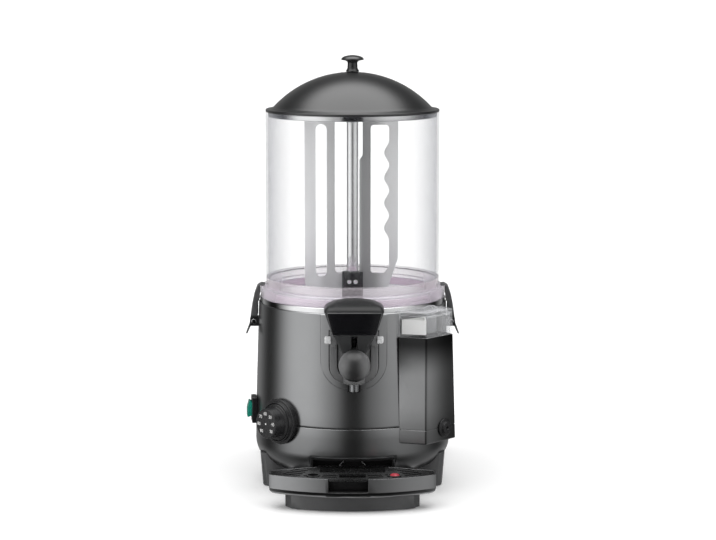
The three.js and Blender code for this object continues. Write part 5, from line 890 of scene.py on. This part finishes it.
# Water box
def box_plan(z, thin):
    """The box's plan at a height: its left and right faces, its short rear side and the arc where it meets
    the shell. The two right corners lie further out the lower they are. Every side is moved in by thin. The
    left and the rear side end where their lines meet the shell's circle, at the equation's nearer root."""
    inner, left, nose, right, rear = np.array([(76, 76), (61, 117), (97, 128), (132.6, 88), (119, 62)])
    spread, gap, hair = 0.046, 0.35, 1e-4

    def further(start, end):
        return end + (end - start) / np.linalg.norm(end - start) * spread * (SHELL_TOP - z)

    corners = np.array([inner, left, nose, further(nose, right), further(inner, rear)])
    inner, left, nose, right, rear = inset(corners, -thin)
    radius = shell_radius(max(z, SEAM)) + gap + thin

    def on_shell(start, toward):
        step = (toward - start) / np.linalg.norm(toward - start)
        b, c = start @ step, start @ start - radius ** 2
        return start + step * min((-b - math.sqrt(b * b - c), -b + math.sqrt(b * b - c)), key=abs)

    if np.linalg.norm(left) < radius:
        left = on_shell(left, nose)
        left_in = left + (inner - left) * hair
        left_in *= radius / np.linalg.norm(left_in)
    else:
        left_in = on_shell(left, inner)
    rear_in = on_shell(rear, inner)
    turn = np.linspace(math.atan2(*rear_in), math.atan2(*left_in), 16)[1:-1]
    arc = radius * np.column_stack([np.sin(turn), np.cos(turn)])
    sides = rounded([(*left_in, 0), (*left, 0), (*nose, 2.2), (*right, 2.8), (*rear, 1), (*rear_in, 0)],
                    steps=6)
    x, reach = np.vstack([sides, arc]).T
    return np.column_stack([x, -reach, np.full(len(x), z)])


def box_wall(rows, closed=True):
    """The box's plan at each (inset, height) of a list, as one surface."""
    return loft(np.stack([box_plan(z, thin) for thin, z in rows]), closed=closed)


def water_box():
    """The box's plan stacked along its wall, out and up and back down inside. The cap's grip is a profile
    turned about its own line, and the plug is turned about a line that points out of the right face."""
    wall = box_wall([(2.2, 72.6), (0.9, 72.8), (0.2, 73.6), (0, 74.8), (0, 91), (0.25, 91.3), (0.9, 91.4),
                     (0.9, 92.2), (0.25, 92.3), (0, 92.6), (0, 213.7), (0.25, 214.3), (0.8, 214.5),
                     (2.3, 214.5), (2.6, 214.2), (2.6, 76), (3.4, 75.2)], closed=False)
    piece("water_box_body", "machine", "black_plastic", BOX_BLACK, [wall], "water_box")
    pane = box_wall([(0.15, 214.8), (0, 215), (0, 242.9), (0.5, 243.4), (2.1, 243.4), (2.6, 242.9),
                     (2.6, 215), (2.45, 214.8)])
    piece("water_box_pane", "machine", "clear_plastic", CLEAR_BOX, [pane], "water_box_window")
    rim = box_wall([(2.9, 240.8), (2.9, 243.7), (0.3, 243.7), (0, 244), (0, 247.8), (0.25, 248.4),
                    (0.9, 248.6), (12, 248.6), (12, 246.7), (4.6, 246.7), (4.6, 240.8)])
    plate = slab(box_plan(248, 11), 246.7, 248.6, edge=0.1)
    grip = turned([(0, 247.6), (10.2, 247.6, 0.3), (10.2, 250, 1.8), (8.6, 253, 2.5), (4.5, 255.2, 3),
                   (0, 255.6)], sides=64)
    piece("water_box_cap", "box_lid", "clear_plastic", CLEAR_BOX,
          [rim, plate, moved(grip, by=(104, -104, 0))], "water_box_lid")
    out = np.array([40.0, -35.6, 0]) / math.hypot(40, 35.6)
    face = np.column_stack([np.cross([0, 0, 1], out), [0, 0, 1], out])
    plug = turned([(0, -8), (7, -8, 0.4), (7, 0.3, 0.2), (12.6, 0.3, 0.3), (12.6, 2.2, 0.9), (9.6, 2.9, 0.6),
                   (8.6, 3.2, 0.5), (8.3, 6, 0.9), (2.6, 6, 0.5), (2, 5.2, 0.3), (2, 3.4, 0.2), (0, 3.4)],
                  sides=72)
    piece("drain_knob", "drain", "dark_plastic", DEEP_BLACK, [moved(plug, face, (121.92, -100.0, 90.6))],
          "drain_plug")


# Tray
def tray_linings():
    """Painted shade in the tray: black sheets on a floor under the grid and on the back, sides and floor of
    its finger recess. The rim on the boss behind it is a tube bent over the boss, pale as a painted
    highlight."""
    left, right, low, high = -31.35, 20.35, 28.8, 45.6
    back, front = 198.2, 210.4
    plan = on_circle(204.6, np.linspace(-0.488, 0.488, 33), 0)[:, :2]
    plan = np.vstack([plan, [(96, -171), (83, -161), (-83, -161), (-96, -171)]])
    # Black sheets as painted shade under the grid and inside the finger recess
    shade_under_grid = slab(plan, 22.95, 23.3, edge=0.05)
    recess_shade_sheets = [
        carried_forward(rectangle(left, right, low, high), back - 0.05, back + 0.6, edge=0.1),
        slab([(left, -back), (left, -front), (right, -front), (right, -back)], low - 0.1, low + 0.4,
             edge=0.1),
        carried_across(rectangle(back, front - 0.2, low, high), left, left + 0.45, edge=0.1),
        carried_across(rectangle(back, front + 0.8, low, high), right - 0.45, right, edge=0.1),
    ]
    piece("tray_shade_sheets", "tray", "black_plastic", SHADE_BLACK, [shade_under_grid, *recess_shade_sheets])
    # A pale tube as a painted highlight along the edge of the dark boss
    turn = np.linspace(math.radians(24), math.radians(156), 60)
    rim = np.column_stack([20.6 * np.cos(turn), np.full(len(turn), -108.8), 29.5 + 20.6 * np.sin(turn)])
    piece("dock_boss_rim_highlight", "machine", "dark_plastic", PALE, [tube(rim, 0.6)])


# The rest keeps its CAD form. A row is a piece, its node, body, slot, finish and the width of its soft edges
SOFTENED = [
    ("plinth_skirt", "plinth", "machine", "black_plastic", TRAY_BLACK, 1.0),
    ("stand_skirt", "stand", "machine", "black_plastic", TRAY_BLACK, 1.0),
    ("back_cover", "rear_cover", "machine", "satin_black", PAINT, 1.0),
    # The dock's near black is painted shade under the shell
    ("tray_recess", "tray_dock", "machine", "dark_plastic", SHADE_BLACK, 0.5),
    ("tray_body", "drip_tray", "tray", "black_plastic", TRAY_PAINT, 0.8),
    ("tray_grid", "drip_grid", "grid", "black_plastic", GRID_BLACK, 0.45),
    ("filler_tray", "filler_insert", "machine", "white_plastic", WHITE, 0.4),
]
# Nodes that get a finish alone
SHOWN = [
    (RUBBER, ["foot_front_left", "foot_front_right", "foot_rear_left", "foot_rear_right"]),
    (STEEL, ["base_plate", "water_tank", "tank_stand", "heating_element", "drive_shaft", "thermostat"]),
    (DEEP_BLACK, ["cable_gland"]), (MOTOR, ["gear_motor"]), (WHITE, ["shaft_seal"]),
]


def kept_forms():
    """Nodes with softened edges, the float as a profile turned about its own line, and plain nodes."""
    for row in SOFTENED:
        softened(*row)
    pin = turned([(0, 24), (8.6, 24, 0.6), (8.6, 27, 0.8), (6.4, 27, 0.4), (6.4, 46.6, 1.4), (3.6, 48.4, 1.2),
                  (0, 48.4)], sides=48)
    piece("float_pin", "float", "red_plastic", RED, [moved(pin, by=(54.5, -188, 0))], "float_indicator")
    for look, nodes in SHOWN:
        for node in nodes:
            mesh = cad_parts[node].data
            mesh.materials.clear()
            mesh.materials.append(look)


# Studio
LEFT_LIGHT, RIGHT_LIGHT, BACK_LIGHT, FLOOR_LIGHT, TOP_LIGHT, AMBIENT = 1.27, 0.88, 0.38, 0.3, 3.3, 0.006


def floor():
    """A pale square, its half width in metres."""
    half = 200.0
    mesh = bpy.data.meshes.new("floor")
    corners = [(-half, -half, 0), (half, -half, 0), (half, half, 0), (-half, half, 0)]
    mesh.from_pydata(corners, [], [(0, 1, 2, 3)])
    mesh.materials.append(finish("pale_floor", (0.9, 0.9, 0.9), 0.8, shade=0.0, grain=0.02,
                                 Emission_Color=(1, 1, 1, 1), Emission_Strength=0.12))
    obj = placed("floor", mesh)
    obj.visible_glossy = False


def studio():
    """Soft light panels at the left, the right and overhead as the sky's own brightness: a panel's level
    times smooth steps in the azimuth, from the front towards the right, and in the height, both in degrees.
    The camera sees a plain white sky."""
    world = bpy.data.worlds.new("studio")
    bpy.context.scene.world = world
    world.use_nodes = True
    tree = world.node_tree
    tree.nodes.clear()
    split = tree.nodes.new("ShaderNodeSeparateXYZ")
    tree.links.new(tree.nodes.new("ShaderNodeTexCoord").outputs["Generated"], split.inputs[0])

    def math_node(kind, *values):
        node = tree.nodes.new("ShaderNodeMath")
        node.operation = kind
        for socket, value in zip(node.inputs, values):
            if isinstance(value, float):
                socket.default_value = value
            else:
                tree.links.new(value, socket)
        return node.outputs[0]

    def step(value, start, end):
        """Rises smoothly from 0 at the start to 1 at the end, whichever of them is the larger."""
        return smooth_change(tree, value, math.radians(start), math.radians(end), 0.0, 1.0)

    def edge(way, narrow_share, narrow, wide):
        """A panel's near edge: a narrow step with a share of the light, then a wide one with the rest."""
        return math_node("ADD", math_node("MULTIPLY", step(way, *narrow), narrow_share),
                         math_node("MULTIPLY", step(way, *wide), 1.0 - narrow_share))

    azimuth = math_node("ARCTAN2", split.outputs["X"], math_node("MULTIPLY", split.outputs["Y"], -1.0))
    left_way = math_node("MULTIPLY", azimuth, -1.0)
    either_way = math_node("ABSOLUTE", azimuth)
    height = math_node("ARCSINE", split.outputs["Z"])
    below_top = step(height, 74, 40)
    panels = [
        (LEFT_LIGHT, [edge(left_way, 0.4, (12, 17), (18, 52)), step(left_way, 110, 74), below_top,
                      step(height, -26, -12)]),
        (RIGHT_LIGHT, [edge(azimuth, 0.45, (12, 17), (18, 50)), step(azimuth, 120, 62), below_top,
                       step(height, -32, 0)]),
        (BACK_LIGHT, [step(either_way, 120, 150), step(height, 34, 10)]),
        (FLOOR_LIGHT, [step(either_way, 50, 120), step(height, -12, -28)]),
        (TOP_LIGHT, [step(height, 44, 58)]),
    ]
    total = AMBIENT
    for value, steps in panels:
        for factor in steps:
            value = math_node("MULTIPLY", factor, value)
        total = math_node("ADD", value, total)
    sky, plain = tree.nodes.new("ShaderNodeBackground"), tree.nodes.new("ShaderNodeBackground")
    tree.links.new(total, sky.inputs["Strength"])
    plain.inputs["Strength"].default_value = 1.0
    mix = tree.nodes.new("ShaderNodeMixShader")
    seen = tree.nodes.new("ShaderNodeLightPath").outputs["Is Camera Ray"]
    for socket, source in zip(mix.inputs, (seen, sky.outputs[0], plain.outputs[0])):
        tree.links.new(source, socket)
    out = tree.nodes.new("ShaderNodeOutputWorld")
    tree.links.new(mix.outputs[0], out.inputs["Surface"])
    bpy.context.scene.view_settings.view_transform = "Standard"


# The photograph's width, the focal length and the sideways shift, in its own pixels
PHOTO_WIDTH, PHOTO_FOCAL, PHOTO_SHIFT = 716.0, 2150.0, 5.5


def camera():
    """The photograph's view: 7.9 degrees down, from 2.93 m, at the axis just above the bowl's foot."""
    pitch, distance = math.radians(7.9), 2931.87
    aim = BOWL_AXIS + [0, 0, 288.05]
    lens = bpy.data.cameras.new("photo_view")
    lens.sensor_width = 36.0
    lens.lens = PHOTO_FOCAL / PHOTO_WIDTH * lens.sensor_width
    lens.shift_x = PHOTO_SHIFT / PHOTO_WIDTH
    lens.clip_end = 1000.0
    obj = placed("photo_view", lens)
    obj.location = (aim + distance * np.array([0, -math.cos(pitch), math.sin(pitch)])) * MM
    obj.rotation_euler = (math.pi / 2 - pitch, 0, 0)
    bpy.context.scene.camera = obj


floor()
studio()
camera()
lid()
bowl()
pan()
stirrer()
blades()
upper_shell()
lower_shell()
for side, word in ((-1, "left"), (1, "right")):
    latch(side, word)
tap_panel()
tap_body()
tap_valve()
tap_cover()
tap_handle()
dial()
dial_figures()
switch()
water_box()
tray_linings()
kept_forms()
